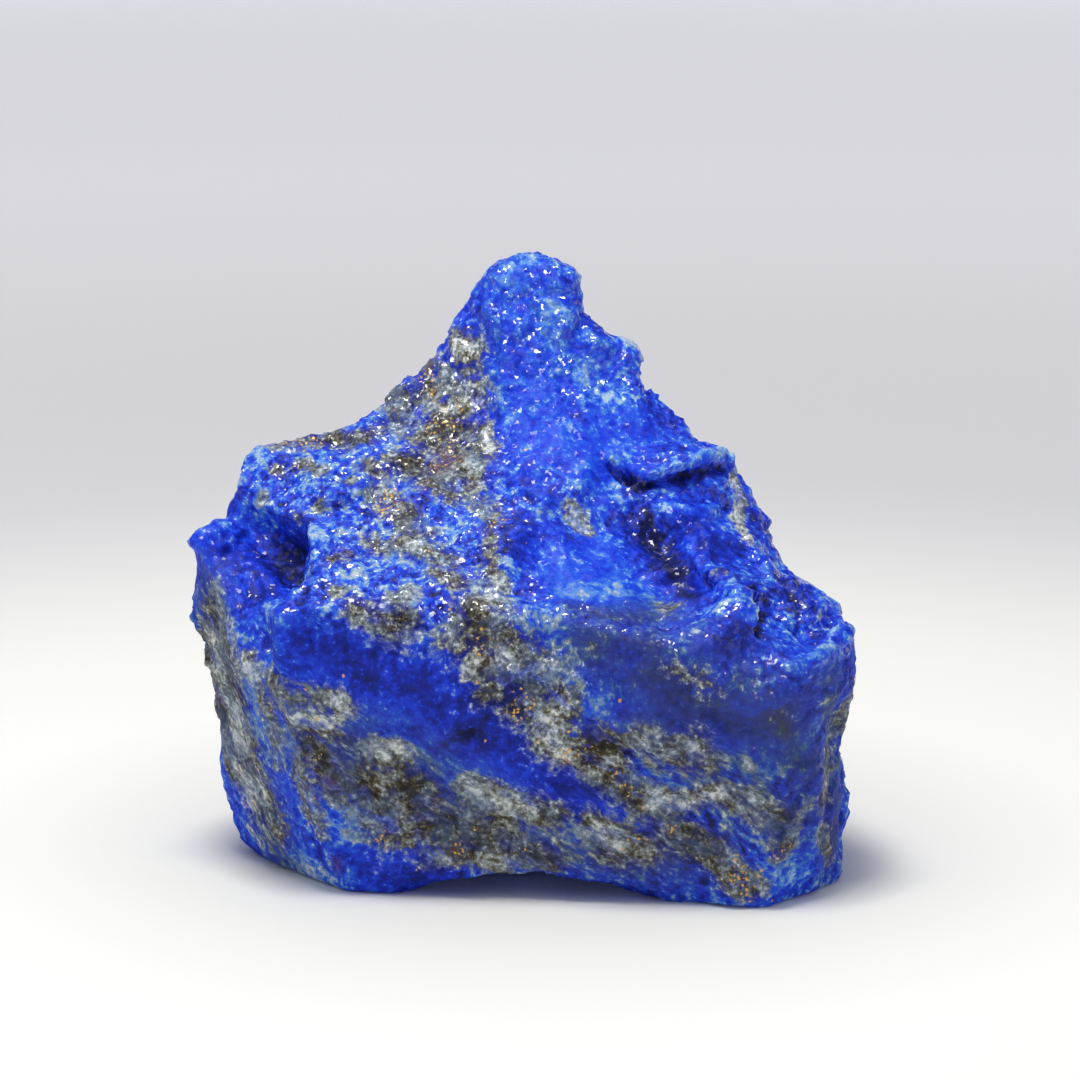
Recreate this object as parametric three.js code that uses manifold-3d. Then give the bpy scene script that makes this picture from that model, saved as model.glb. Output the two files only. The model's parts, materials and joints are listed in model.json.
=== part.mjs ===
// A rough lump of lapis lazuli, broken from the rock and left raw.
// It is one solid: a blocky foot with a steep front, a sloping top with a knob at the back,
// a scooped-out bowl, a ledge and a terrace where chips have come away.
// Millimetres, +Z up, +X to the right and +Y away from the side with the bowl.

import * as THREE from 'three';
import { ConvexHull } from 'three/addons/math/ConvexHull.js';
import { ImprovedNoise } from 'three/addons/math/ImprovedNoise.js';
import { mergeVertices } from 'three/addons/utils/BufferGeometryUtils.js';
import Module from 'manifold-3d';

// Driving dimensions

const WIDTH = 45;                 // left to right, over the roughness
const LONGEST_EDGE = 1.9;         // the skin is divided until no edge is longer
const FOOT_TRIM = 0.4;            // taken off below, so that the stone has a flat to stand on
const HEART = new THREE.Vector3(0, 7, 10);   // a point inside, from which every corner is in sight

// Each layer of roughness: how far apart its bumps are, and how high
const ROUGHNESS = [
  { spacing: 7.0, height: 0.45 },
  { spacing: 3.2, height: 0.35 },
  { spacing: 1.7, height: 0.18 },
];

// Corners of the broken faces, as [x, y, z], each list one feature of the stone.
// The skin joins neighbouring corners, so a ridge has corners along it.

const CORNERS = {
  knobRim: [
    [-3, 9, 39.5], [-1.5, 9, 40.5], [0, 9, 41], [2, 9, 40.5], [3.5, 9, 39.5], [3.5, 9, 37],
  ],
  knobFront: [
    [-1.5, 7.5, 40], [0.5, 7.5, 40.5], [2.5, 7.5, 40],
    [-2.5, 6.5, 38], [0, 6, 38], [2.5, 6, 38], [3.5, 7, 37.5],
    [-3, 6.5, 36], [-0.5, 5, 35.5], [2, 5, 35.5], [4, 6, 35],
    [-1.5, 4.5, 33], [1, 4, 33], [4, 4.5, 33],
    [-1.5, 3, 30.5], [1.5, 2.5, 30.5], [4, 3, 31], [5.5, 4, 31.5],
  ],
  knobBack: [
    [-3, 11.5, 37], [0.5, 12, 38.5], [3.5, 11.5, 36.5], [-6, 11.5, 32], [0.5, 13.5, 32], [6, 11.5, 31.5],
  ],
  shoulder: [
    [5.5, 8.5, 35.5], [7, 8, 34.5], [7.5, 7.5, 32], [6.5, 6, 33],
  ],
  seamWedge: [
    [-4.5, 9, 37.5], [-5.5, 8.5, 36], [-7, 8, 34], [-8.5, 7.5, 32.5], [-10, 6.5, 31],
    [-5, 7, 35], [-3.5, 6, 33.5], [-6, 6.5, 33], [-7, 6, 31], [-4.5, 5, 31], [-2.5, 4, 30.5],
    [-9.5, 4.5, 29.5], [-7, 4, 30], [-4, 3.5, 30],
  ],
  plateauEdge: [
    [-12, 5.5, 30], [-15.5, 4.5, 29], [-19, 3, 28.5], [-19.5, 2, 27], [-20, 1.5, 25.5],
    [-19, 0.5, 25.5], [-17, -1, 25], [-15, -2.5, 25],
  ],
  plateau: [
    [-16, 1, 27.5], [-12, 2, 28], [-8, 1.5, 28], [-4, 1.5, 28],
    [-11, -2.5, 25], [-7, -3, 25.5], [-3.5, -2.5, 25.5],
    [-11, -7, 22.5], [-8, -7, 22.5], [-4, -7, 23],
    [-1.5, 1, 28], [-1.5, -2, 26], [-1.5, -6.5, 23.5],
  ],
  browLeft: [
    [-13.5, -10, 20.5], [-11, -10, 20.5], [-8, -10.5, 20.5], [-5, -10.5, 21], [-1.5, -10.5, 21],
  ],
  saddle: [
    [-0.5, 1.5, 29], [2, 1, 29.5], [5, 2, 29.5], [8, 4, 30], [1, -1, 28], [3.5, -1.5, 27], [6, -0.5, 26.5],
  ],
  rightTop: [
    [9, 7, 31.5], [11, 6.5, 30], [12, 6, 28.5], [8.5, 3.5, 29], [10.5, 3.5, 28.5],
  ],
  ledgeLip: [
    [6, 1, 27.5], [8, 0, 27], [10.5, 1, 27.5], [12.5, 2.5, 28], [13.5, 4, 27.5],
  ],
  ledgeRoot: [
    [8, 0, 25.5], [10.5, 1, 26], [12.5, 2.5, 26.5], [13.5, 4, 26],
  ],
  bowl: [
    [0, -2, 26], [1, -2.5, 25], [3.5, -2, 24], [6, -1.5, 23.5], [8, -1.5, 23], [9.5, -1.5, 22.5],
    [0.5, -6, 22.5], [3, -6, 22], [5, -5.5, 21.5], [7.5, -5, 21], [9.5, -5, 20.5], [11, -5.5, 20.5],
    [1.5, -9, 21], [3.5, -9.5, 20.5], [6.5, -9.5, 20], [8.5, -8.5, 19.5], [11, -8.5, 20],
  ],
  bowlRim: [
    [1.5, -11, 20.5], [5, -12, 19.5], [8.5, -12.5, 19], [10.5, -13, 18.5], [12, -12.5, 19.5], [14, -11, 21],
  ],
  crease: [
    [10, -0.5, 25], [11.5, -1.5, 24.5], [12, -3, 23.5], [12, -4.5, 22.5], [12, -6, 22], [12.5, -7.5, 21.5], [13, -9, 21],
  ],
  rightFacet: [
    [13.5, 2.5, 25.5], [13.5, -0.5, 24], [13.5, -4, 22], [14, -7.5, 21],
  ],
  rightRidge: [
    [14, 4.5, 26.5], [15, 4, 25], [16, 3, 23.5], [18, 2, 21], [19.5, 0, 19.5], [21, -3, 18.5], [21.5, -6, 18],
  ],
  rightSlope: [
    [15, 0, 23.5], [16, -2, 21.5], [15, -6.5, 20.5], [18, -3, 20],
    [15.5, -9, 19.5], [18, -7, 18], [20, -5, 18],
  ],
  rightBump: [
    [14.5, -10.5, 21], [15.5, -11, 19], [15.5, -11.5, 18],
  ],
  browRight: [
    [16, -12, 17], [18, -12, 16.5], [19.5, -10, 17], [20.5, -8, 17.5],
  ],
  riser: [
    [-14.5, -5, 24], [-14, -7, 22.5],
  ],
  terrace: [
    [-22, -0.5, 23.5], [-21.5, -2, 22], [-20, 1, 23.5], [-18.5, -1, 22.5], [-17.5, -3, 21.5],
    [-16.5, 0, 23], [-15, -2, 21.5], [-15, -5.5, 20], [-19.5, -3, 21], [-18, -4.5, 20],
  ],
  crevice: [
    [-16.5, -9.5, 20], [-15.5, -8.5, 20.5], [-16.5, -10, 17],
    [-17.5, -6, 20], [-17, -7, 17.5], [-18.5, -6, 18.5], [-19, -6.5, 15.5],
  ],
  leftRidge: [
    [-16, -9.5, 14.5], [-15, -9.5, 10.5], [-14, -9, 6.5], [-13, -8.5, 3],
  ],
  front: [
    [-13, -10, 17.5], [-8, -11, 15.5], [-1.5, -11.5, 15.5], [5, -12, 16], [11.5, -13, 16], [16, -12.5, 14.5],
    [-12, -10, 11], [-8, -10, 9], [-1.5, -11, 9.5], [5, -11.5, 9.5], [11.5, -12, 9.5], [16.5, -12, 9],
    [-7, -9.5, 3.5], [-1.5, -10, 4.5], [5, -11, 4.5], [11.5, -12, 4], [16.5, -12, 4],
  ],
  frontCorner: [
    [18.5, -11, 13], [19, -10.5, 8], [19, -10, 3],
  ],
  rightOutline: [
    [22, -4.5, 15.5], [22, -4, 13], [20.5, -4, 11.5], [21.5, -4, 9], [22, -3, 6.5], [21.5, -3.5, 3], [21, -5, 0.5],
  ],
  rightFace: [
    [21, -8, 15], [20, -7.5, 12], [20.5, -7, 7.5], [20, -7.5, 3.5],
  ],
  leftOutline: [
    [-22.5, 0, 20], [-22.5, -0.5, 18], [-22, 0, 15], [-21.5, 0.5, 12],
    [-21, 1, 8.5], [-21, 1.5, 4.5], [-20, 1.5, 1.5],
  ],
  leftFace: [
    [-20, -4, 19.5], [-18.5, -5.5, 13], [-17.5, -5, 7.5], [-16, -5, 3], [-19.5, -1.5, 7],
  ],
  backTop: [
    [-17, 6.5, 27], [-11, 9.5, 27], [-4, 13, 26], [3.5, 14, 26], [9.5, 11, 26.5], [13, 8.5, 24],
  ],
  backMiddle: [
    [-21.5, 4, 21], [-18.5, 8.5, 19], [-11, 12, 18.5], [-3, 15, 18], [5, 15.5, 18.5], [12, 12.5, 18], [18, 7, 18],
  ],
  backLow: [
    [-20.5, 6, 11], [-16, 10, 9.5], [-8, 13, 9], [0, 16, 8.5], [8, 15, 8], [15, 11, 9.5], [20, 5.5, 10],
  ],
  rightBack: [
    [21.5, -1, 14], [21, 1.5, 17.5], [21.5, 1, 5],
  ],
  arch: [
    [-8.5, -8.5, 0.5], [-5, -9, 1], [-1.5, -9.5, 1.5], [1, -9.5, 2], [4.5, -10, 1.5], [8, -10.5, 0.5],
    [-3, -4, 1], [2.5, -4.5, 1],
  ],
  foot: [
    [-12, -8, 0], [-15, -4.5, 0], [-18, 0, 0], [-17.5, 5, 0], [-13, 9, 0], [-5, 12, 0], [3, 14, 0], [10, 13, 0],
    [16, 8.5, 0], [19.5, 3, 0], [20, -4, 0], [19.5, -8, 0], [16, -11.5, 0], [11, -10.5, 0],
    [-9, -2, 0], [8, -3, 0], [0, 3, 0],
  ],
};

// Joins the corners into a closed skin: seen from the heart, each is joined to its nearest neighbours.
function skin(corners) {
  const sight = corners.map((corner) => corner.clone().sub(HEART).normalize());
  const index = new Map(sight.map((direction, i) => [direction, i]));
  const triangles = new ConvexHull().setFromPoints(sight).faces.map((face) => {
    const ends = [face.edge, face.edge.next, face.edge.next.next];
    return ends.map((edge) => index.get(edge.head().point));
  });
  return { points: corners, triangles };
}

// Halves every edge that is longer than the limit, until none is. Both faces of an edge share its middle.
function refine({ points, triangles }, longest) {
  const grown = [...points];
  let faces = triangles;
  for (let split = true; split;) {
    const middles = new Map();
    const middle = (a, b) => {
      const key = a < b ? `${a},${b}` : `${b},${a}`;
      if (!middles.has(key) && grown[a].distanceTo(grown[b]) > longest) {
        middles.set(key, grown.push(grown[a].clone().lerp(grown[b], 0.5)) - 1);
      }
      return middles.get(key);
    };
    faces = faces.flatMap((face) => halve(face, face.map((a, i) => middle(a, face[(i + 1) % 3]))));
    split = middles.size > 0;
  }
  return { points: grown, triangles: faces };
}

// The triangles that replace one, given the new point on each of its edges, or undefined where there is none.
function halve([a, b, c], [ab, bc, ca]) {
  const cut = [ab, bc, ca].filter((point) => point !== undefined).length;
  if (cut === 0) return [[a, b, c]];
  if (cut === 3) return [[a, ab, ca], [ab, b, bc], [ca, bc, c], [ab, bc, ca]];
  if (ab === undefined) return halve([b, c, a], [bc, ca, ab]);
  if (cut === 2 && bc === undefined) return halve([c, a, b], [ca, ab, bc]);
  return cut === 1 ? [[a, ab, c], [ab, b, c]] : [[ab, b, bc], [a, ab, bc], [a, bc, c]];
}

function toGeometry({ points, triangles }) {
  const geometry = new THREE.BufferGeometry().setFromPoints(points);
  geometry.setIndex(triangles.flat());
  geometry.computeVertexNormals();
  return geometry;
}

// Pushes each point out or in along its normal by the layers of noise.
function roughen(geometry) {
  const noise = new ImprovedNoise();
  const position = geometry.getAttribute('position');
  const normal = geometry.getAttribute('normal');
  const point = new THREE.Vector3();
  const outward = new THREE.Vector3();
  for (let i = 0; i < position.count; i++) {
    point.fromBufferAttribute(position, i);
    outward.fromBufferAttribute(normal, i);
    const rise = ROUGHNESS.reduce((sum, { spacing, height }) => {
      const at = point.clone().divideScalar(spacing);
      return sum + height * noise.noise(at.x, at.y, at.z);
    }, 0);
    point.addScaledVector(outward, rise);
    position.setXYZ(i, point.x, point.y, point.z);
  }
  return geometry;
}

const wasm = await Module();
wasm.setup();

function toSolid(geometry) {
  const bare = geometry.clone();
  bare.deleteAttribute('normal');
  bare.deleteAttribute('uv');
  const merged = mergeVertices(bare);
  return new wasm.Manifold(new wasm.Mesh({
    numProp: 3,
    vertProperties: merged.getAttribute('position').array,
    triVerts: new Uint32Array(merged.index.array),
  }));
}

function fromSolid(solid) {
  const { vertProperties, triVerts } = solid.getMesh();
  const geometry = new THREE.BufferGeometry();
  geometry.setAttribute('position', new THREE.BufferAttribute(vertProperties, 3));
  geometry.setIndex(new THREE.BufferAttribute(triVerts, 1));
  geometry.computeVertexNormals();
  return geometry;
}

// Cuts the foot off level, a little above its lowest bumps.
function standFlat(geometry) {
  const slab = new THREE.BoxGeometry(2 * WIDTH, 2 * WIDTH, WIDTH);
  slab.translate(0, 0, FOOT_TRIM - WIDTH / 2);
  return fromSolid(toSolid(geometry).subtract(toSolid(slab)));
}

// Sets the stone to its width, its box centred over the origin and its foot at z = 0.
function setToFrame(geometry) {
  geometry.computeBoundingBox();
  const scale = WIDTH / (geometry.boundingBox.max.x - geometry.boundingBox.min.x);
  const centre = geometry.boundingBox.getCenter(new THREE.Vector3());
  geometry.translate(-centre.x, -centre.y, -geometry.boundingBox.min.z);
  geometry.scale(scale, scale, scale);
  return geometry;
}

const corners = Object.values(CORNERS).flat().map((corner) => new THREE.Vector3(...corner));
const rough = roughen(toGeometry(refine(skin(corners), LONGEST_EDGE)));

const lapis = new THREE.MeshStandardMaterial({ color: 0x2434b4, roughness: 0.4, metalness: 0 });
const stone = new THREE.Mesh(setToFrame(standFlat(rough)), lapis);
stone.name = 'lapis_stone';

const lapisLazuli = new THREE.Group();
lapisLazuli.name = 'raw_lapis_lazuli';
lapisLazuli.add(stone);

export default lapisLazuli;
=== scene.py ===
"""A rough lump of lapis lazuli on a pale table, under soft light from above."""

import json
import math

import bpy
import numpy as np
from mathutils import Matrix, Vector

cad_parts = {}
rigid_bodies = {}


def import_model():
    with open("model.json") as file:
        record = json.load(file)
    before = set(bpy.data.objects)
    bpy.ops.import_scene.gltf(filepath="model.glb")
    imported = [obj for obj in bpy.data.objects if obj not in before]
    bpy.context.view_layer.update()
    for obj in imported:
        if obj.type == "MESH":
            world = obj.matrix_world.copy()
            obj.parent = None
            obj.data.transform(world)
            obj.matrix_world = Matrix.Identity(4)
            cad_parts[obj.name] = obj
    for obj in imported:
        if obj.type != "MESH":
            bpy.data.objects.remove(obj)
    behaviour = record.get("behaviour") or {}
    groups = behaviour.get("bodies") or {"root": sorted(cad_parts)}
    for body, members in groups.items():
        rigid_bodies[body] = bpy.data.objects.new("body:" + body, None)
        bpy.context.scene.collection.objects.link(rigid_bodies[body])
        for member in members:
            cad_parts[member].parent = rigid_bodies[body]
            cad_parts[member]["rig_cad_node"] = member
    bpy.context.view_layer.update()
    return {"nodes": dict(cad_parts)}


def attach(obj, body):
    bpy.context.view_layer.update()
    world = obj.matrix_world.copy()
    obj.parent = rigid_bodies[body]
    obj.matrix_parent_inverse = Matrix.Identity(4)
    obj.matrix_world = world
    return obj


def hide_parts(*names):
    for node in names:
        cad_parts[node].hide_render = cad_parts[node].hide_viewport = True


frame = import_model()

MM = 0.001

# The lump's mesh
RIDGE_ANGLE = math.radians(20)      # edges bent more than this stay as ridges when the rest is rounded
RIDGE_CREASE = 0.8
MESH_STEP = 0.26 * MM               # spacing of the finished mesh
WORN_STEPS = 5                      # smoothing passes that take the saw teeth off edges, except crisp ones
FOOT_HEIGHT = 1.2 * MM              # the relief fades out over this height above the table

# Relief on the mesh, each kind with the spacing of its bumps and their height
LUMP_SPACING, LUMP_HEIGHT = 4.0 * MM, 0.22 * MM
CHIP_SPACING, CHIP_TILT = 2.8 * MM, 0.09
GRAIN_SPACING, GRAIN_HEIGHT = 0.75 * MM, 0.20 * MM
LAYER_SPACING, LAYER_HEIGHT = 0.9 * MM, 0.14 * MM
CUT_DEPTH, NICK_DEPTH, RIM_HEIGHT = 1.1 * MM, 0.3 * MM, 0.35 * MM
HOLLOW_DEPTH, SWELL_HEIGHT, HUMP_HEIGHT, LEDGE_HEIGHT = 0.6 * MM, 0.5 * MM, 1.0 * MM, 0.45 * MM
STEP_SPACING, STEP_HEIGHT = 3.6 * MM, 0.16 * MM
UNDERCUT_RISE = 0.8 * MM            # straight up, unlike the others
UNEVEN_SPACING = 1.2 * MM           # breaks in the rims, clefts and ledges
LAYER_STRETCH = 2.6                 # how much longer than thick the layers' streaks are

# Sizes in the stone's pattern. The specks, pyrite, grit and crystal faces are drawn a little coarser than life,
# so that they show.
ISLAND_SPACING = 0.9 * MM           # spots of blue left in the calcite
SPECK_SPACING = 0.3 * MM
PYRITE_SPACING = 0.26 * MM
GRIT_SPACING, GRIT_HEIGHT = 0.4 * MM, 0.14 * MM
FACE_SPACING = 0.3 * MM             # crystal faces
WARP_SPACING, WARP = 0.25 * MM, 0.3 * MM    # bends the edges of flecks and faces
FILM_SPACING = 0.7 * MM             # waves in the film of water
PATCH_SPACING = 2.2 * MM            # patches where the film gathers

# The rock's layers dip down to the right across the front, and steeply down the left side
LAYER_NORMAL = Vector((0.45, -0.55, 0.70)).normalized()

# Regions of the surface, each a list of brush strokes: (x, y, z, radius) in millimetres
STROKES = {
    # Grey and olive calcite with pyrite: a seam down from the knob, and the bands of the lower front
    "matrix": [
        [(-20, -4.5, 15.5, 1.3), (-19.5, -3.5, 12.5, 1.6), (-19, -4.5, 9, 1.6), (-18, -4.5, 5.5, 1.5)],
        [(-18, -8.5, 15.5, 1), (-17, -9, 12.5, 1.1), (-16, -8.5, 9, 1)],
        [(14, 2.5, 26, 0.35), (15, 1, 24.5, 0.45), (15, -0.5, 23.5, 0.45), (15.5, -2.5, 22.5, 0.35)],
        [(-4.5, 6, 35, 0.9), (-3.5, 5, 34.5, 1.4), (-4, 4.5, 33, 1.8), (-5.5, 5, 32, 2.2), (-7.5, 5, 31, 1.5),
         (-9, 5, 31, 0.8)],
        [(-3, 4, 32, 1.2), (-3, 3.5, 31, 1.5), (-5, 3.5, 30.5, 2), (-5.5, 2.5, 29.5, 2), (-3, 2, 29.5, 1.5)],
        [(-8.5, 4.5, 30.5, 1), (-6, 1.5, 29, 1.2), (-4, 1, 28, 1.9), (-2.5, 0, 28, 1.3)],
        [(-8.5, 0, 27.5, 1.2), (-7, -0.5, 27.5, 1.4), (-5, 0.5, 27.5, 1.5), (-3.5, -1, 27, 1.5),
         (-3.5, -2, 26.5, 1.5), (-4.5, -3, 26, 1.3), (-6, -2.5, 26.5, 1)],
        [(-2.5, -3.5, 25.5, 1.1), (-1.5, -5, 25, 1), (-2, -6, 24.5, 0.6), (-2, -8, 23, 0.7),
         (-2, -9.5, 22.5, 0.7), (-1.5, -10.5, 21.5, 0.9), (-2, -11.5, 21, 1.2)],
        [(-9.5, -2.5, 26, 0.8), (-9, -3.5, 25.5, 0.9), (-7.5, -5, 25, 0.9), (-7.5, -6, 24, 0.8)],
        [(-8, -6.5, 23.5, 0.7), (-6.5, -7.5, 23, 0.9), (-4.5, -8.5, 22.5, 0.6)],
        [(-11.5, -7.5, 23, 0.6), (-12.5, -8, 22.5, 0.5)], [(-17.5, -1.5, 25.5, 0.5)], [(-13.5, -3, 25, 0.5)],
        [(-15, 0, 27.5, 0.6), (-13.5, -0.5, 27, 0.5)], [(-11.5, -2, 26.5, 0.6)],
        [(-10, -6, 23.5, 0.6), (-9, -7, 23, 0.5)], [(-6, -6, 24, 0.5)],
        [(-5.5, -9.5, 22, 0.7), (-4, -10.5, 21.5, 0.8)], [(-7, -11, 21, 0.6), (-8.5, -11.5, 20.5, 0.6)],
        [(-15, -3.5, 24.5, 0.5)], [(-12, -10.5, 21, 0.6)], [(-16.5, 0, 27, 0.5)],
        [(-10.5, -0.5, 27.5, 0.7), (-9.5, -1.5, 27, 0.6)],
        [(-17, 2, 28, 0.5), (-16, 2.5, 28.5, 0.9), (-14.5, 2.5, 28.5, 1), (-13.5, 3, 29, 0.9),
         (-11.5, 2, 28.5, 0.9), (-10.5, 2.5, 29, 0.7), (-9, 3.5, 29.5, 0.8)],
        [(-11, -11.5, 20, 0.7), (-10, -12, 19.5, 1), (-8, -12, 19, 1.3), (-7, -12, 19.5, 0.8)],
        [(-3.5, -12.5, 20, 1.6), (-2.5, -12.5, 19, 2), (-4, -12.5, 18, 1.6), (-5, -12.5, 18, 0.8)],
        [(-1.5, -12.5, 18.5, 1.8), (0.5, -12.5, 18, 1.6), (1, -13, 17, 1.4), (-1, -12.5, 17, 1.8),
         (-0.5, -13, 16, 2), (-2.5, -13, 16.5, 1.4)], [(-1.5, -13, 15, 1.6), (-2.5, -13, 14.5, 0.8)],
        [(0.5, -13, 15.5, 2), (2, -13, 15.5, 1.8), (3, -13.5, 14.5, 1.4)],
        [(0, -13, 14, 1.6), (-0.5, -13, 13.5, 1)], [(1.5, -13, 13, 1.8), (3, -13.5, 13.5, 1.3)],
        [(2, -13, 11.5, 1.4), (3, -13, 10.5, 1.2), (4, -13, 10.5, 1), (5, -13.5, 11.5, 1.4),
         (6.5, -13.5, 11.5, 0.9)],
        [(4.5, -13, 9.5, 0.8), (6, -13.5, 9, 1), (7.5, -13, 8, 1), (8.5, -13, 7, 1), (9.5, -13.5, 6, 0.9),
         (11, -13.5, 5, 1), (12.5, -13.5, 4, 1), (13.5, -13.5, 3, 0.9), (14.5, -13.5, 2, 1.2),
         (15.5, -13.5, 1.5, 1.1)],
        [(8, -14, 12, 0.8), (9, -14, 11, 0.9), (11.5, -14, 11, 1.3), (12.5, -13.5, 10.5, 0.9)],
        [(8.5, -13, 8.5, 0.5), (9.5, -13, 7.5, 0.6), (10.5, -13.5, 7, 0.7), (12, -13.5, 7.5, 0.6),
         (13.5, -13.5, 8, 0.7), (14.5, -14, 7.5, 0.8), (15.5, -14, 7, 0.7), (17, -13.5, 6, 0.9)],
        [(10, -14, 16.5, 0.7), (12, -14.5, 16, 0.8), (13, -14.5, 15.5, 0.6)],
        [(-15.5, -11.5, 14.5, 0.9), (-15, -11.5, 14, 1), (-13, -11.5, 14, 0.8), (-11.5, -11.5, 13.5, 0.9)],
        [(-14, -11, 12, 1.1), (-14, -11, 10.5, 1.2), (-13, -11, 9.5, 1.3), (-12, -11, 8, 1.2),
         (-10.5, -11, 8, 1.5), (-9, -11, 7.5, 1.5), (-7, -11.5, 7.5, 1.5)],
        [(-9.5, -11.5, 10.5, 0.9), (-8, -12, 10, 0.9)],
        [(-10, -11, 5.5, 1.3), (-8.5, -11, 5, 1.4), (-7, -11, 4.5, 1.2)],
        [(-5.5, -11.5, 6, 1.2), (-4.5, -11.5, 5, 1.6), (-3, -11.5, 4.5, 1.7), (-1.5, -11.5, 3.5, 1.6),
         (0.5, -11.5, 3, 1.3), (2, -11.5, 2.5, 1)],
        [(-6, -11.5, 3, 1), (-3, -11.5, 3, 1.2), (-1.5, -11.5, 2, 1.2)],
        [(-3, -12, 8, 1), (-2, -12, 7.5, 1.2), (-0.5, -12, 6.5, 1.2), (1, -12, 6.5, 1), (2.5, -12.5, 6, 0.9)],
        [(5, -12.5, 5.5, 1), (6.5, -13, 4.5, 1.3), (8, -13, 4, 0.9)],
        [(17.5, -14, 4, 0.9), (19, -12.5, 6.5, 0.6)], [(20.5, -10.5, 4, 0.9), (20.5, -9, 2, 0.7)],
        [(-20.5, -4.5, 19.5, 0.8), (-20.5, -4, 17, 1.6), (-20, -5, 15, 2), (-19.5, -4, 12, 1.8),
         (-18.5, -5, 9.5, 1.6), (-17.5, -5, 6, 1.5), (-16.5, -6, 3.5, 1.2)],
        [(-21.5, -2.5, 15.5, 1.2), (-20.5, -1.5, 10, 1.2), (-19.5, -2, 6.5, 1)],
        [(-16.5, -10, 15, 0.8), (-15.5, -10.5, 11.5, 1), (-14.5, -10, 8, 0.9), (-13.5, -10, 4.5, 0.8)],
        [(3.5, -3.5, 25, 0.8), (4.5, -4, 23.5, 0.6)], [(13.5, -7.5, 21, 0.6)], [(10, -9, 19.5, 0.8)],
        [(-4.5, 10.5, 31, 1.8), (-0.5, 12, 27, 1.6), (4, 13, 22, 1.8), (9, 12.5, 17.5, 1.6),
         (14, 10, 12, 1.8), (19.5, 4, 5.5, 1.4)],
        [(-2, 11.5, 24.5, 0.9), (2, 13.5, 20, 1.1), (7, 13.5, 16, 0.9)],
        [(-19.5, 5, 19.5, 0.9), (-14.5, 8.5, 16.5, 1.3), (-10.5, 10.5, 13, 1.4), (-6, 12, 9, 1.2),
         (-2, 12.5, 4.5, 1.2)], [(-13, 6.5, 26, 0.7), (-11, 8.5, 24.5, 0.8)],
        [(7, 13.5, 6.5, 0.7), (10.5, 11.5, 3.5, 0.8)],
        [(-20.5, -0.5, 10, 1.2), (-21, 3, 14.5, 1.4), (-18, 7, 17.5, 1.5), (-7.5, 11.5, 19, 1.3)],
        [(-20, 2, 22, 0.7), (-15, 6.5, 24, 0.8), (-5.5, 10.5, 25.5, 0.7)],
        [(-17, 5, 4.5, 0.9), (-14, 8.5, 7, 1), (-8, 11.5, 9.5, 0.8)],
        [(20.5, -11, 7, 1), (22.5, -5.5, 12, 1.4), (21.5, 0.5, 16.5, 1.4), (16, 6.5, 20, 1.2)],
        [(22, -2, 5.5, 0.8), (21, 3.5, 8.5, 1), (15.5, 9, 11, 0.8)],
    ],
    # The whiter calcite in it
    "light": [
        [(-20, -3, 11.5, 0.8), (-19.5, -4, 8.5, 0.9), (-18.5, -3, 4.5, 0.8)],
        [(-21, -3.5, 16, 0.9), (-20, -3.5, 12.5, 1.1), (-19, -4.5, 9.5, 0.9)],
        [(-19, -2, 4.5, 1), (-17.5, -2.5, 1.5, 1)], [(-19.5, -6, 18, 0.7), (-18, -8.5, 14.5, 0.8)],
        [(-4.5, 5.5, 35, 0.7), (-3.5, 5, 34.5, 0.7)], [(-3, 3.5, 31, 0.55), (-5.5, 3.5, 30.5, 0.47)],
        [(-2.5, 1.5, 29.5, 0.47), (-2, 0, 28.5, 0.55)], [(-2.5, -1.5, 26.5, 0.39), (-3.5, -0.5, 27.5, 0.47)],
        [(-1.5, -10.5, 21.5, 0.62), (-2, -12, 20.5, 0.94)], [(-8, -6.5, 23.5, 0.55), (-6.5, -7.5, 23, 0.47)],
        [(-3.5, -13, 16.5, 0.94), (-2.5, -13, 17, 0.86)], [(-1.5, -12.5, 17, 1), (-0.5, -12.5, 17, 0.86)],
        [(1.5, -13, 13.5, 0.7), (2, -13, 13, 1), (2.5, -13, 12.5, 0.7)],
        [(2, -13, 11.5, 1), (3, -13, 10.5, 0.94)], [(3, -13.5, 14, 0.78)],
        [(-10, -11.5, 10.5, 0.62), (-8.5, -12, 10.5, 0.86), (-7.5, -12, 10, 0.62)],
        [(-3.5, -12, 8, 0.62), (-2.5, -12, 7.5, 0.86), (-1, -12, 7, 0.94), (1, -12, 6.5, 0.62)],
        [(-14.5, -11, 12.5, 0.78), (-12.5, -11.5, 12, 0.78)], [(-12, -11.5, 14, 0.62), (-11.5, -12, 13, 0.62)],
        [(-8, -11.5, 6.5, 0.7)], [(-1.5, -11, 2, 0.94), (-2.5, -11, 3, 0.7)],
        [(6.5, -13, 4.5, 0.94), (5, -12.5, 5.5, 0.62)],
        [(8.5, -13, 8.5, 0.47), (9.5, -13, 7.5, 0.47), (10.5, -13.5, 7, 0.62), (12, -13.5, 7.5, 0.47),
         (13.5, -13.5, 8, 0.55)], [(6, -13.5, 10, 0.55), (4.5, -13, 9, 0.55)], [(8.5, -13, 7, 0.55)],
        [(11.5, -14, 11, 0.62)],
        [(14, 2.5, 26, 0.62), (14.5, 1, 24.5, 0.7), (15, -0.5, 23.5, 0.86), (15.5, -2, 22.5, 0.78),
         (15.5, -3.5, 22, 0.55)], [(-21, -3.5, 16, 0.94), (-20, -3.5, 14, 0.94)], [(-17.5, -5, 6, 0.78)],
        [(-14, -7, 0.5, 1.2), (-13, -8.5, 1.5, 1.2)], [(4.5, -4, 23.5, 0.47), (3.5, -3.5, 25, 0.39)],
        [(-4.5, 10.5, 31, 0.9), (-2, 11.5, 28, 0.8)], [(5.5, 13, 21.5, 0.9), (7.5, 13, 18.5, 0.7)],
        [(15, 9.5, 11, 0.9)], [(-12, 10, 14, 0.9), (-9, 11, 11.5, 0.7)], [(-5, 12, 7, 0.8)],
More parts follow.
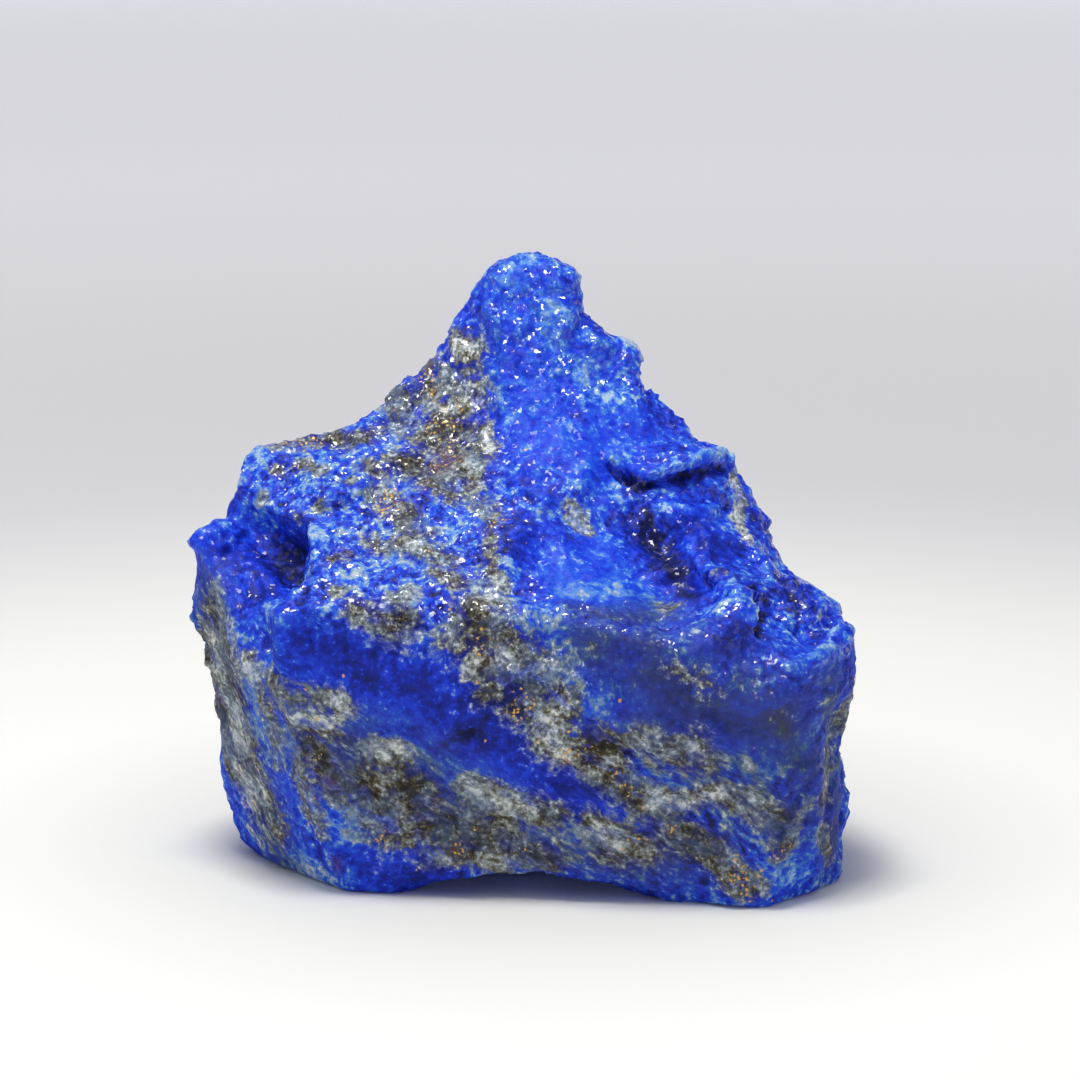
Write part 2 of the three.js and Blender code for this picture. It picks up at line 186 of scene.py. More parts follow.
        [(-20.5, 3.5, 15, 0.8), (-18.5, 6, 17.5, 0.7)], [(-8.5, 9, 25.5, 0.6)], [(-15, 8, 7, 0.7)],
        [(22.5, -5, 12, 0.8), (22, -1.5, 15, 0.7)], [(20.5, 4, 8.5, 0.7)],
    ],
    # The darkest, olive brown parts of it. Three strokes are painted shade instead: on the bowl's right wall under
    # the ledge, in the notch by the right block, and in the cleft by the left terrace
    "dark": [
        # painted shade on the bowl's right wall, under the ledge
        [(7, -0.5, 27, 0.4), (8, -2, 25.5, 0.7), (9, -3, 23, 0.8), (10, -6, 21.5, 0.7), (11.5, -8.5, 20, 0.5)],
        # the next line's first stroke is painted shade, in the notch by the right block
        [(16, -7.5, 20.5, 0.6), (16, -10.5, 19, 0.5)], [(-7.5, 5.5, 31.5, 1), (-8, 5, 30.5, 0.9)],
        [(-5.5, 2.5, 29.5, 0.9), (-4, 2, 29.5, 0.7)], [(-8, -0.5, 27.5, 1.2), (-7, -1, 27, 1)],
        [(-7.5, -5, 25, 1), (-7.5, -6, 24, 0.8)], [(-12.5, 2.5, 28.5, 0.8), (-11, 2, 28.5, 0.8)],
        [(-8, -12, 19, 1.2)], [(-3, -12.5, 19.5, 1), (-2.5, -12.5, 19, 1.5)],
        [(-0.5, -13, 16, 1.3), (-1.5, -13, 15, 1.4)], [(0, -13, 14, 1.2)],
        [(-5.5, -12.5, 10.5, 0.5), (-4.5, -13, 11.5, 0.6), (-3, -13, 12, 0.5)],
        [(-12.5, -11.5, 11.5, 0.5), (-11, -11.5, 11, 0.6)], [(-14, -11, 10.5, 0.9), (-13, -11, 9.5, 1.1)],
        [(-10.5, -11, 8, 1.2), (-9, -11, 7.5, 1.2), (-7, -11.5, 7.5, 1.3)],
        [(-4.5, -11.5, 5, 1.3), (-3, -11.5, 4.5, 1.2)], [(0.5, -11.5, 3, 1.2), (2, -11.5, 2.5, 0.8)],
        [(5, -13.5, 11.5, 1.1), (5.5, -13.5, 9, 0.8)], [(7.5, -13, 8, 0.8)],
        [(11, -13.5, 5, 0.7), (12.5, -13.5, 4, 0.8)], [(17, -13.5, 6, 0.8), (17.5, -14, 4, 0.7)],
        # the next line's first stroke is painted shade, in the cleft by the left terrace
        [(-16, -3, 21.5, 1), (-15, -4.5, 20.5, 0.9)], [(13.5, -7.5, 21, 0.7)],
        [(-19.5, -5.5, 15, 0.9), (-20.5, -2, 10, 0.9)], [(1, 12.5, 25, 1), (3, 13, 23, 0.9)],
        [(11, 12, 15.5, 1.1)], [(-7.5, 6, 32.5, 0.9)], [(-15.5, 8.5, 17, 0.9)], [(-7.5, 11.5, 10, 0.9)],
        [(-21, 1, 12, 0.9)], [(-12, 10, 19, 0.9)], [(21, -8.5, 9, 0.8)], [(19, 3.5, 18, 0.9)],
    ],
    # Clouds of pale and sky blue
    "pale": [
        [(-1, 5.5, 39, 0.9), (0, 6, 40, 0.8)], [(2, 4.5, 38, 1), (2.5, 4, 36.5, 0.9)],
        [(5, 4.5, 34.5, 1), (6, 4, 33, 0.8)], [(-1.5, 4, 36, 0.7)], [(2.5, 3.5, 35, 0.6)],
        [(-1.5, 3.5, 33, 0.8), (-1, 2.5, 31.5, 0.7)], [(-0.5, 1.5, 30.5, 0.7), (0, 0.5, 29, 0.6)],
        [(7, 4, 32, 0.9), (7.5, 3, 30.5, 0.9)], [(6.5, 6.5, 34.5, 0.8)],
        [(3.5, -3.5, 24.5, 0.7), (4.5, -4, 23.5, 0.8), (5.5, -5.5, 22.5, 0.8)],
        [(7, -5, 22, 0.8), (7.5, -7, 21, 0.9), (5.5, -8.5, 21, 0.6)],
        [(2.5, -7, 22.5, 0.7), (1.5, -8.5, 21.5, 0.7)],
        [(9, -6.5, 20.5, 1), (10, -9, 19.5, 1.2), (8.5, -8, 20, 1)],
        [(2.5, -10, 21, 0.7), (5.5, -9.5, 20.5, 0.7), (8, -7, 20.5, 0.6)], [(5.5, -2.5, 25.5, 0.7)],
        [(-18, 1.5, 28, 1), (-17.5, 0, 27, 0.9)],
        [(-17, -2, 25, 1.3), (-15.5, -1.5, 26, 1.4), (-14.5, -1, 27, 1.7), (-13.5, 0, 27.5, 1.4),
         (-11.5, -0.5, 27.5, 1.3)], [(-18.5, -1, 24, 0.9), (-17.5, -1.5, 24.5, 0.8)],
        [(-12.5, -4.5, 24, 1.2), (-13.5, -3.5, 24.5, 1)], [(-10, -4.5, 24.5, 1.3), (-8.5, -6, 24, 1.1)],
        [(-8.5, 3, 29, 1.2), (-7.5, 1, 28.5, 0.8)],
        [(-4.5, -4.5, 25, 1.3), (-4.5, -6, 24, 1.8), (-5, -7, 23.5, 1.4)],
        [(-3, -9, 22.5, 1.2), (-1, -9.5, 22.5, 1), (-3, -12, 20.5, 1.5)],
        [(-6.5, -9.5, 22, 1.3), (-8, -10.5, 21, 1)], [(-11, -10.5, 21, 0.9), (-12.5, -9.5, 21.5, 0.9)],
        [(-5.5, -4, 25.5, 0.9), (-6.5, -5, 25, 0.8)],
        [(-15, -2.5, 25.5, 1.2), (-13, -2.5, 26, 1.2), (-11, -2.5, 26, 1)],
        [(-14, -6.5, 23.5, 1), (-11.5, -6, 23.5, 1)], [(-8, -4, 25.5, 0.9), (-7, -7, 23.5, 1)],
        [(-10, -9, 21.5, 1.1), (-8, -9, 22, 1), (-5.5, -8, 22.5, 1.1)],
        [(-9.5, 1, 28, 1), (-7, 2.5, 29.5, 0.8)], [(-16, -10, 19.5, 1), (-15.5, -11.5, 19, 0.8)],
        [(-10.5, -12, 17.5, 0.5)], [(-8.5, -12.5, 15.5, 0.4)], [(-8.5, -12, 12.5, 0.6)],
        [(-1, -12.5, 18, 0.9), (-0.5, -12.5, 17.5, 0.6)],
        [(-5, -12.5, 17, 0.7), (-4, -13, 16, 0.9), (-3, -13, 15.5, 0.8)],
        [(1.5, -12.5, 19, 0.9), (2.5, -13, 18, 0.9), (3.5, -13, 16.5, 1)],
        [(7, -14, 16.5, 0.9), (5.5, -13.5, 15, 1.2), (8, -14, 14.5, 0.9)],
        [(11.5, -14.5, 17.5, 0.8), (15, -14, 14, 0.9)],
        [(18, -13, 11, 0.8), (14.5, -14, 10, 1.1), (16, -14, 9, 0.8)],
        [(3.5, -12.5, 4, 1.4), (4.5, -12.5, 3, 1)], [(12, -13.5, 8, 1), (8.5, -13.5, 9.5, 1)],
        [(15, -14, 3.5, 1), (17.5, -13.5, 2.5, 1), (18.5, -12.5, 3, 0.8)], [(21.5, -7.5, 7.5, 0.9)],
        [(-6.5, -12, 10.5, 0.9), (-4.5, -12, 9.5, 1), (-2.5, -12.5, 9, 0.9)],
        [(-11.5, -11, 6, 1), (-10.5, -10.5, 4, 1)], [(-6, -11.5, 4, 1), (-7.5, -11, 3.5, 0.9)],
        [(2.5, -12, 5, 1), (1.5, -12, 4, 0.9)], [(-14, -7, 0, 1.6), (-11.5, -9.5, 0.5, 1.2)],
        [(-17, -3.5, 1, 1.3), (-15, -5.5, 0.5, 1.3)],
        [(-20.5, -4.5, 18.5, 0.9), (-18.5, -8, 14, 1.2), (-17.5, -7.5, 10.5, 1.2)],
        [(-2, 9, 37.5, 1.6), (-0.5, 11, 34, 1.4)], [(10.5, 8.5, 26.5, 2), (13.5, 8, 22, 1.6)],
        [(-4.5, 12.5, 19, 2.2), (-0.5, 14, 15.5, 2)], [(19.5, 5, 15.5, 1.6)], [(-13.5, 9, 8, 1.6)],
        [(-17.5, 5, 24.5, 1.4)], [(4.5, 14, 10, 1.8)], [(-9, 5, 30.5, 1.6), (-6.5, 8, 32.5, 1.4)],
        [(-21.5, 1, 18.5, 1.4)], [(-18.5, 6, 12, 1.4)], [(6, 3.5, 31.5, 1.6)], [(21, -5, 18.5, 1.6)],
        [(18.5, 6, 15, 1.6)],
    ],
    # Pure dark ultramarine; the strokes on the left terrace also darken its recess as painted shade
    "deep": [
        [(17, -3, 21.5, 1), (18, -5.5, 20, 1.2), (19.5, -6, 18.5, 1)],
        [(5.5, -13, 19.5, 0.8), (8.5, -14, 18.5, 0.8)],
        [(-12.5, -11.5, 17, 1.8), (-10, -12, 16.5, 2.2), (-6.5, -13, 15, 2.2), (-3.5, -13, 12.5, 2),
         (0, -13, 10.5, 1.6)], [(-14.5, -11.5, 18, 1.2)],
        # painted shade: the recess of the left terrace
        [(-21.5, -3, 22.5, 1.2), (-19, -3.5, 21.5, 2.2), (-16, -3.5, 21.5, 2), (-17.5, -6, 20, 1.6)],
        [(0.5, -6, 24, 1.3), (0, -7.5, 23, 1)],
        [(-10, -10.5, 2, 1.4), (-8, -10.5, 1.5, 1.4), (-5.5, -11, 1.5, 1.2)],
        [(1.5, -12.5, 8.5, 1.4), (3.5, -13, 8, 1.4), (6, -13, 7.5, 1)],
        [(8.5, -14, 15, 1.6), (12, -14, 13.5, 1.6), (16, -14, 13, 1.8), (18.5, -13, 14, 1.6)],
        [(8, -3, 23.5, 1.2), (9.5, -4.5, 22, 1.6), (11.5, -7, 20, 1.4)],
        [(12, -3, 24, 1.5), (13, -4.5, 23, 1.5)], [(14.5, -13.5, 18.5, 1.5), (12, -14.5, 18.5, 1)],
        [(20, -11.5, 8.5, 1.5), (21, -9, 4, 1.3)], [(9.5, -13, 4.5, 1), (5.5, -12.5, 3, 0.8)],
        [(-19.5, -3.5, 7.5, 1), (-18.5, -3, 4.5, 1)],
        [(3, 9.5, 37.5, 2.6), (4, 11, 31.5, 2.8), (9, 10.5, 23, 2.2)],
        [(-9, 9.5, 24, 2.6), (-5, 12.5, 16.5, 2.4), (1, 14.5, 9.5, 2.6)],
        [(20, 4.5, 11, 1.6), (16.5, 8, 4.5, 2)], [(-15, 7, 4, 1.8)], [(14, 9, 18, 1.8)],
        [(-3, 9, 36.5, 1.8), (-6, 10, 30.5, 2)], [(-19, 5, 21.5, 2.2), (-19.5, 1, 24.5, 1.6)],
        [(-19, 3.5, 7.5, 1.8)], [(8, 7.5, 30.5, 1.8), (16, 3.5, 22.5, 2.2)], [(22, -7.5, 14.5, 1.6)],
        [(21, 0.5, 10, 1.8)],
    ],
    # Where the layers show edge on, as streaks
    "streaks": [
        [(-15, -11.5, 13.5, 2.5), (-12.5, -11, 9.5, 3.5), (-6.5, -11.5, 7.5, 3.5), (-1.5, -11.5, 5.5, 3.5),
         (4, -12.5, 4.5, 3.5), (9.5, -13.5, 5.5, 3.5), (14, -13.5, 5.5, 3.5), (18.5, -13, 5.5, 3)],
        [(5.5, -13.5, 11, 2.5), (12, -13.5, 9.5, 3), (16.5, -13.5, 8, 2.5)],
        [(-21, -4, 19, 2), (-20, -3.5, 13, 3.5), (-18.5, -4.5, 8, 3.5), (-17, -4.5, 3, 3)],
        [(2.5, -10, 21, 1.3), (6.5, -8.5, 20.5, 1.5), (10.5, -8, 20, 1.3)],
        [(20, -12, 15.5, 2), (20.5, -10, 9.5, 2), (20.5, -10, 4, 2)],
        [(-6, 10, 30, 3), (3.5, 13, 21.5, 3.5), (14, 10, 11, 3)], [(-16, 8, 16.5, 2.4), (-6, 12, 8, 3)],
        [(-20.5, 0, 10.5, 2.6), (-18.5, 6, 17, 3), (-7, 11.5, 19.5, 2.4)],
        [(20.5, -9, 8.5, 2.4), (21.5, -1, 16, 3), (15.5, 7.5, 19.5, 2.4)],
    ],
    # Clusters of pyrite grains
    "pyrite": [
        [(-6.5, 6, 32.5, 0.7), (-6, 5, 32, 0.8)], [(-5, 3.5, 30.5, 0.6), (-5.5, 2.5, 29.5, 0.7)],
        [(-5, 0, 27.5, 0.8), (-5.5, -0.5, 27.5, 0.7)], [(-9, -2.5, 26, 0.6), (-9, -3.5, 25.5, 0.7)],
        [(-1.5, -4.5, 25, 0.6), (-1.5, -5.5, 24.5, 0.5)], [(-14.5, 2.5, 28.5, 0.8), (-15.5, 2.5, 28.5, 0.6)],
        [(-5, 2.5, 29.5, 0.5), (-5, 2, 29, 0.5)], [(-2.5, -13, 17.5, 0.5)],
        [(0.5, -13, 14, 0.7), (0, -13, 13.5, 0.6)], [(3.5, -13, 10.5, 0.6), (4, -13, 10.5, 0.5)],
        [(6, -13, 9, 0.5)], [(7, -13, 8, 0.5)],
        [(14.5, -13.5, 2.5, 0.8), (15, -13.5, 2, 0.9), (15, -13.5, 1.5, 0.7)], [(10, -13.5, 5.5, 0.4)],
        [(17.5, -14, 4, 0.5)], [(-13.5, -11, 9.5, 0.4)], [(-4, -11.5, 3.5, 0.4)], [(-9, -11, 4, 0.4)],
        [(-2, 11.5, 27.5, 0.6)], [(9, 12.5, 17, 0.6), (10.5, 12, 15.5, 0.5)], [(-11, 10, 12.5, 0.6)],
        [(-19.5, 5, 16, 0.5)], [(21.5, -1, 15.5, 0.5)],
    ],
    # Rusty stains
    "rust": [
        [(-6, 6.5, 33.5, 0.5), (-6.5, 6, 33, 0.4)], [(-5, 0.5, 28, 0.6), (-5.5, -1, 27, 0.5)],
        [(-12.5, -11, 8, 0.4)], [(-12.5, -10, 2, 0.5), (-12.5, -9.5, 1.5, 0.4)], [(-4.5, -11.5, 3.5, 0.3)],
        [(13.5, -7.5, 21, 0.3)], [(-6, 6.5, 33.5, 0.5)], [(-5, 0.5, 28, 0.7), (-4, 0, 27.5, 0.5)],
        [(5.5, 13.5, 19.5, 0.4)], [(-13.5, 9, 15.5, 0.4)],
    ],
    # Duller blue, with grey dust through it
    "dusty": [
        [(4.5, -13, 17.5, 2), (8, -14, 16.5, 2.6), (12, -14.5, 15, 3), (16, -14, 13, 3), (18.5, -13, 10, 2.6)],
        [(8, -14, 12.5, 2.4), (13, -13.5, 9.5, 2.6), (18, -13, 6.5, 2.4)],
        [(3.5, -12, 20, 0.8), (6.5, -12, 19.5, 1), (9.5, -9.5, 19.5, 1.6)],
        [(20.5, -11, 14.5, 1.6), (21, -7, 8.5, 1.6), (20.5, -9, 3, 1.6)],
        [(-21, -4, 19, 1.6), (-20, -3.5, 13, 2.6), (-18.5, -5, 7, 2.4), (-16.5, -4.5, 1.5, 2)],
        [(2.5, -12, 3.5, 2), (8, -13, 3, 2), (13, -13.5, 4, 2)],
        [(-11, -11.5, 10.5, 2.2), (-6, -11.5, 8.5, 2.4), (-1.5, -11.5, 5, 2.4)],
        [(-7.5, 9.5, 28.5, 2), (2, 13.5, 19.5, 2.6), (12, 11.5, 10, 2.4)],
        [(-12, 10, 9.5, 2.6), (-3.5, 12, 4.5, 2)], [(-20.5, 1, 10.5, 2.2), (-17, 7.5, 18, 2.4)],
        [(21, -7.5, 10, 2.2), (19, 3.5, 18, 2.4)],
    ],
    # Vivid ultramarine with few clouds
    "pure": [
        [(0, 5, 38.5, 2.5), (0.5, 3.5, 35.5, 3), (1.5, 2, 31.5, 2.5)],
        [(2, 0, 29, 2.5), (5.5, 0, 28.5, 2.5), (8, 2, 29.5, 1.5)],
        [(4.5, -6.5, 22, 2.2), (2.5, -10, 21, 1.6), (6.5, -9.5, 20, 1.4)],
        [(11.5, 2.5, 28.5, 1.2), (13, 0.5, 27.5, 1.2)],
    ],
    # Fine grains of everything, side by side
    "mottled": [
        [(-18, 0.5, 27, 1.6), (-15, -1, 26.5, 2.4), (-12, -3, 25.5, 2.8), (-8, -5, 24.5, 2.8),
         (-4.5, -8.5, 22.5, 2.6), (-2.5, -11, 21, 1.8)],
        [(-11.5, -8, 22.5, 2.4), (-8, -10.5, 21, 2.2), (-12.5, -10.5, 21, 1.4)],
        [(-8, 2, 28.5, 2), (-6, -1, 27, 2)], [(18, -6.5, 19.5, 1.6), (20.5, -7.5, 17.5, 1.4)],
        [(-12, -11, 7, 2.4), (-5.5, -11.5, 5, 2.4), (1.5, -11.5, 3.5, 2.4), (8.5, -13, 3, 2.4),
         (14.5, -13.5, 3.5, 2)], [(6.5, -13.5, 10, 1.8), (12, -13.5, 8, 1.8), (17, -13.5, 7.5, 1.6)],
        [(-20, -5, 16.5, 1.6), (-18.5, -5, 11, 2), (-17.5, -4.5, 5, 2), (-16, -4.5, 1, 1.6)],
        [(-12, 4.5, 29.5, 2), (-17, 5, 26, 2)], [(-2, 12.5, 22, 2.2), (6.5, 14, 15.5, 2.4), (14, 10, 6.5, 2)],
        [(-7.5, 11, 5.5, 2.2)],
    ],
    # Where the break is coarse and granular
    "granular": [
        [(0.5, 5, 38.5, 5), (1, 3, 34, 5), (5.5, 4, 33, 3.5)],
        [(-5.5, 4.5, 31.5, 4), (-5, 1, 28, 4), (-2.5, -7, 23.5, 2.5)],
        [(-17, -0.5, 26.5, 3), (-15, -1, 26.5, 4), (-11, -3.5, 25, 5), (-6.5, -5.5, 24.5, 5), (-9, -9, 22, 4)],
        [(16.5, -3, 21.5, 3), (19, -5.5, 19, 3.5), (20.5, -7.5, 17.5, 2.5)], [(2, 10, 37.5, 4)],
        [(-12, 6.5, 27, 3.5)], [(16.5, 4, 22, 3)], [(-4.5, 12.5, 18, 3.5)], [(10.5, 12, 6, 3)],
    ],
    # Where it is smooth, like the inside of a shell
    "smooth": [
        [(1.5, 0.5, 29.5, 3), (3, -1, 28.5, 3.4), (7, 1, 29, 3)],
        [(0.5, -6.5, 23, 1.5), (5.5, -6, 22, 3.5), (8, -8.5, 20, 2.5), (11.5, -7, 20, 2.5)],
        [(11.5, -3, 24, 2.5), (13, -5, 22.5, 2)], [(-19.5, -3, 22, 3), (-16, -5, 21, 2.5)],
        [(-11, -12, 16.5, 3.5), (-6.5, -13, 15, 3.5), (-2.5, -13, 12, 3)], [(18.5, -13, 14, 3)],
        [(7.5, 11, 26, 3), (6.5, 13, 20.5, 2.4)], [(-2, 13.5, 12.5, 3)], [(-13, 9.5, 18.5, 2.4)],
    ],
    # Narrow clefts, also darkened in the colour as painted shade
    "cuts": [
        [(6.2, -0.4, 27.4, 0.2), (6.9, -0.8, 27, 0.3), (7.6, -1.6, 26.6, 0.35), (8.4, -1.8, 26.2, 0.3)],
        [(8.5, -1.8, 26.2, 0.25), (9.7, -1.4, 26.5, 0.3), (11, -0.8, 26.6, 0.4), (12.4, 0.1, 26.9, 0.45),
         (13.8, 1.5, 27, 0.35)],
        [(15.6, -7.9, 20.4, 0.3), (15.8, -10.1, 19.6, 0.45), (15.9, -12.2, 18.6, 0.35)],
    ],
    # Shallow cracks
    "nicks": [
        [(3.7, 4.3, 36.5, 0.5), (4.4, 5, 36.3, 0.7)],
        [(-17.9, -4.9, 21, 0.25), (-17.4, -6.6, 19.8, 0.3), (-16.9, -8.2, 18.1, 0.3), (-16.5, -9, 16.6, 0.25)],
        [(-9.8, 3.9, 29.5, 0.2), (-7.6, 3.6, 29.7, 0.25), (-5.5, 2.8, 30, 0.25), (-3.7, 2.9, 30.2, 0.2)],
        [(-5.5, -12.2, 10.5, 0.2), (-4.4, -12.8, 11.5, 0.25), (-3.1, -12.9, 12, 0.2)],
        [(-12.4, -11.4, 11.6, 0.2), (-11.2, -11.5, 11.1, 0.25)],
        [(18.1, -13.1, 6.8, 0.15), (18.9, -12.7, 8.3, 0.2), (19.9, -11.1, 9.4, 0.15)],
        [(-14.5, -11.3, 14.4, 0.3), (-14.2, -11, 11.6, 0.3), (-13.4, -11, 7.5, 0.3), (-12.9, -10.4, 3.9, 0.3)],
        [(-13.2, -11.4, 20.5, 0.3), (-13.7, -11.4, 17.8, 0.25)],
        [(16, -12.9, 17.5, 0.25), (16.3, -13.7, 15, 0.2)],
        [(1.8, 11.6, 31.4, 0.25), (3.7, 12.2, 27.7, 0.35), (5.5, 12.2, 24.1, 0.3)],
        [(-12.1, 9.1, 21.1, 0.25), (-9.5, 11, 18, 0.35), (-7.6, 11.4, 14.5, 0.25)],
        [(14.1, 8.9, 18.9, 0.25), (16.3, 8, 15, 0.3)],
        [(-2, 12.7, 22.1, 0.3), (2.2, 14.2, 16.8, 0.35), (6.3, 13.8, 11.6, 0.3)],
        [(-6.2, 12.2, 11.8, 0.3), (-2, 13.3, 7.8, 0.3)], [(9.2, 6.4, 29.8, 0.3), (12, 6.4, 26.2, 0.3)],
        [(-17.9, 2.8, 26.8, 0.3), (-18.9, 4.2, 22.1, 0.4), (-19.8, 4.8, 18.2, 0.3)],
        [(-8.8, 7.7, 29.3, 0.3), (-11, 8.8, 23.5, 0.35)], [(-21.2, 0.8, 15.8, 0.3), (-20.4, 2.8, 9.2, 0.3)],
        [(16, 1.9, 24.1, 0.3), (19, 0.5, 20, 0.4), (20.9, 1.2, 17, 0.3)],
        [(12.1, 4.7, 28.7, 0.3), (15, 6.1, 22.4, 0.35)], [(22.4, -5.5, 15.4, 0.3), (21.6, -4.2, 8.7, 0.3)],
    ],
    # Thin raised edges, also lightened in the colour as painted highlight
    "rims": [
        [(8.8, -1.7, 25.6, 0.3), (10.3, -2.5, 24.1, 0.35), (11.4, -4.4, 22.4, 0.35), (12.3, -7.3, 20.6, 0.35)],
        [(6.2, 0.1, 27.8, 0.5), (7.3, -0.2, 27.3, 0.6), (8.5, -1.6, 26.8, 0.6), (10, -1.3, 27.1, 0.6),
         (11.5, -0.5, 27.4, 0.6), (13.7, 2.2, 27.6, 0.5)],
        [(8.5, -1.8, 25.8, 0.4), (9.9, -1.7, 25.2, 0.5), (11.5, -2.6, 24.6, 0.5), (13.2, -1, 24.4, 0.4)],
        [(1.7, -12, 20.3, 0.4), (3.6, -12.4, 19.8, 0.45), (5.3, -12.8, 19.4, 0.5), (7.2, -13.3, 18.9, 0.5),
         (8.9, -13.2, 18.6, 0.5), (10.7, -13.6, 18.4, 0.5), (12.2, -12.4, 19, 0.5), (14.2, -11.4, 20.4, 0.5),
         (15.1, -9.6, 20.1, 0.4), (15.5, -12.3, 19.3, 0.4)],
        [(17.7, -13.4, 16.4, 0.4), (19.8, -11.4, 16.8, 0.4), (21.8, -7.3, 17.8, 0.4)],
        [(-21.5, -2.3, 22.3, 0.4), (-20.5, -1.9, 22.8, 0.4), (-19.5, -0.6, 23.4, 0.3)],
        [(-0.3, -4, 25.2, 0.4), (0.7, -4.4, 24.8, 0.4), (1.9, -3.4, 25.6, 0.3)],
        [(16.8, -5.9, 20.5, 0.3), (16.5, -3.8, 21.2, 0.4), (15.4, -2, 22.6, 0.3)],
    ],
    # Where edges are not worn
    "crisp": [
        [(6, 0, 28, 1.4), (8.5, -1.5, 26.5, 1.8), (11.5, -0.5, 27.5, 1.8), (14, 2, 27.5, 1.5)],
        [(1.5, -12, 20.5, 1), (5.5, -13, 19.5, 1.2), (9, -13, 18.5, 1.2), (10.5, -13.5, 18.5, 1.2),
         (14, -11.5, 20.5, 1.2)], [(15.5, -8, 20.5, 1.2), (16, -13, 17.5, 1.2)],
        [(17.5, -13.5, 16.5, 1), (22, -7.5, 18, 1)],
        [(-21.5, -2.5, 22.5, 1.4), (-19.5, -0.5, 23.5, 1.2), (-14.5, -3.5, 23, 1.2), (-13, -11.5, 20.5, 1.4),
         (-18, -5, 21, 1.2), (-16.5, -8.5, 17, 1.2)], [(3.5, 4.5, 36.5, 1.2), (4.5, 5, 35.5, 1)],
        [(-19.5, 0, 25.5, 1.2), (-17.5, 1, 27.5, 1.2)],
    ],
    # Where the surface is scooped deeper
    "hollows": [
        [(-17, -2.5, 22, 0.9), (-16, -3.5, 21.5, 1.3), (-15, -5.5, 20, 1)],
        [(-4, 11.5, 25.5, 2.6), (-2, 13, 20.5, 2.4)], [(11.5, 8.5, 25.5, 2.4)], [(-11, 10, 9.5, 2.4)],
        [(14, 10, 9, 2)], [(4, 14, 18, 1.6)], [(-17, 5, 25, 2)], [(-17, 7.5, 12.5, 1.8)], [(18.5, -1, 20.5, 2)],
        [(19.5, 4.5, 15, 1.8)],
    ],
    # Slabs that stand proud, with broken edges
    "ledges": [
        [(7.5, 0.5, 28, 0.8), (9.5, 0.5, 28, 1), (11.5, 1, 28, 1.1), (13.5, 3, 28, 0.8)],
        [(-20.5, -2.5, 22.5, 1), (-19.5, -1, 23, 1)],
        [(12, -6, 22, 0.5), (13.5, -8, 21, 0.6), (14.5, -11, 20.5, 0.5)],
        [(18, -8, 18.5, 0.9), (19.5, -7.5, 17.5, 1), (21, -9, 17.5, 0.8)],
        [(-13, -3, 25.5, 0.7), (-11, -2, 26.5, 0.9)], [(-8, -7, 23.5, 0.8), (-6, -8, 22.5, 0.7)],
        [(-3, -12, 20, 0.6), (-1.5, -12.5, 19.5, 0.7), (0.5, -12.5, 19, 0.5)],
        [(3.5, -13.5, 15, 0.8), (6, -13.5, 13, 0.8), (9, -14, 11.5, 0.6)],
        [(12, -14.5, 15, 0.8), (15, -14, 14.5, 1), (17.5, -13.5, 15, 0.8)],
        [(-12.5, -11.5, 19.5, 0.8), (-9, -12, 18.5, 0.8), (-6.5, -12.5, 18, 0.6)],
        [(-10.5, -11, 9, 0.6), (-6.5, -11.5, 7.5, 0.8), (-2.5, -11.5, 5.5, 0.7)],
        [(4, 12, 28.5, 1.8), (7, 12, 22, 2.4), (8.5, 13, 16.5, 1.8)], [(-12, 8.5, 22.5, 1.6), (-14, 9, 15, 2)],
        [(16.5, 6.5, 19.5, 1.6), (18.5, 6, 11.5, 1.6)], [(-2, 13, 7, 1.8), (-7.5, 11.5, 9.5, 1.4)],
        [(-2.5, 10.5, 33, 1.6), (-6, 10, 28, 1.4)], [(3.5, 14, 13, 1.6)],
        [(-10.5, 6.5, 28.5, 1.6), (-13.5, 7.5, 22.5, 1.8)], [(-21, 3, 19.5, 1.4), (-20, 4, 13.5, 1.6)],
        [(-12.5, 10, 12.5, 1.4)], [(13, 0.5, 27.5, 1.6), (16, 3.5, 22.5, 1.8)],
        [(19, -5, 19.5, 1.4), (22, -3, 13, 1.6)], [(18.5, 6, 12, 1.4)],
    ],
    # Where it stands much higher
    "humps": [
        [(5, 5.5, 35, 1), (6.5, 6, 34, 1.3), (7.5, 5.5, 32.5, 0.9)], [(5.5, 11, 29, 2)],
        [(-8, 11.5, 17.5, 2.2)], [(16.5, 8, 15, 1.8)], [(1, 14.5, 8, 2)],
    ],
    # Where it stands a little higher
    "swells": [
        [(-1.5, 6.5, 39.5, 1.8), (0.5, 7, 40.5, 2), (2.5, 5.5, 39.5, 1.8)],
        [(-21, -2.5, 22.5, 1.2), (-20, -1.5, 23, 1.2)],
    ],
    # The arch under the front edge, which lets one look in below the stone
    "undercut": [
        [(-7.5, -10.5, 0, 0.6), (-3, -11, 0.3, 1.8), (0.6, -11, 0.5, 2.4), (4, -11.5, 0.3, 1.8),
         (8.5, -12, 0, 0.6)], [(-3, -8, 0.3, 2), (0.6, -6.5, 0.5, 3), (4, -8, 0.3, 2)],
    ],
}

# Which regions shape the surface, and which colour it
RELIEF_REGIONS = ("granular", "smooth", "crisp", "cuts", "nicks", "rims", "ledges", "hollows", "swells", "humps",
                  "undercut")
COLOUR_REGIONS = ("matrix", "light", "dark", "pale", "deep", "streaks", "pyrite", "rust", "dusty", "pure", "mottled",
                  "granular", "smooth", "cuts", "rims")

# The photograph's view: the whole frame is FRAME_PX square, and the stone is far away through a long lens
FRAME_PX = 1080
MM_PER_PX = 0.0682
CAMERA_ELEVATION = math.radians(12)
CAMERA_DISTANCE = 300 * MM
CAMERA_AIM = Vector((1.35, 0, 22.15)) * MM
SENSOR = 36.0

LIGHT_AIM = Vector((0, -0.01, 0.01))
LIGHT_COLOUR = "#fffefa"


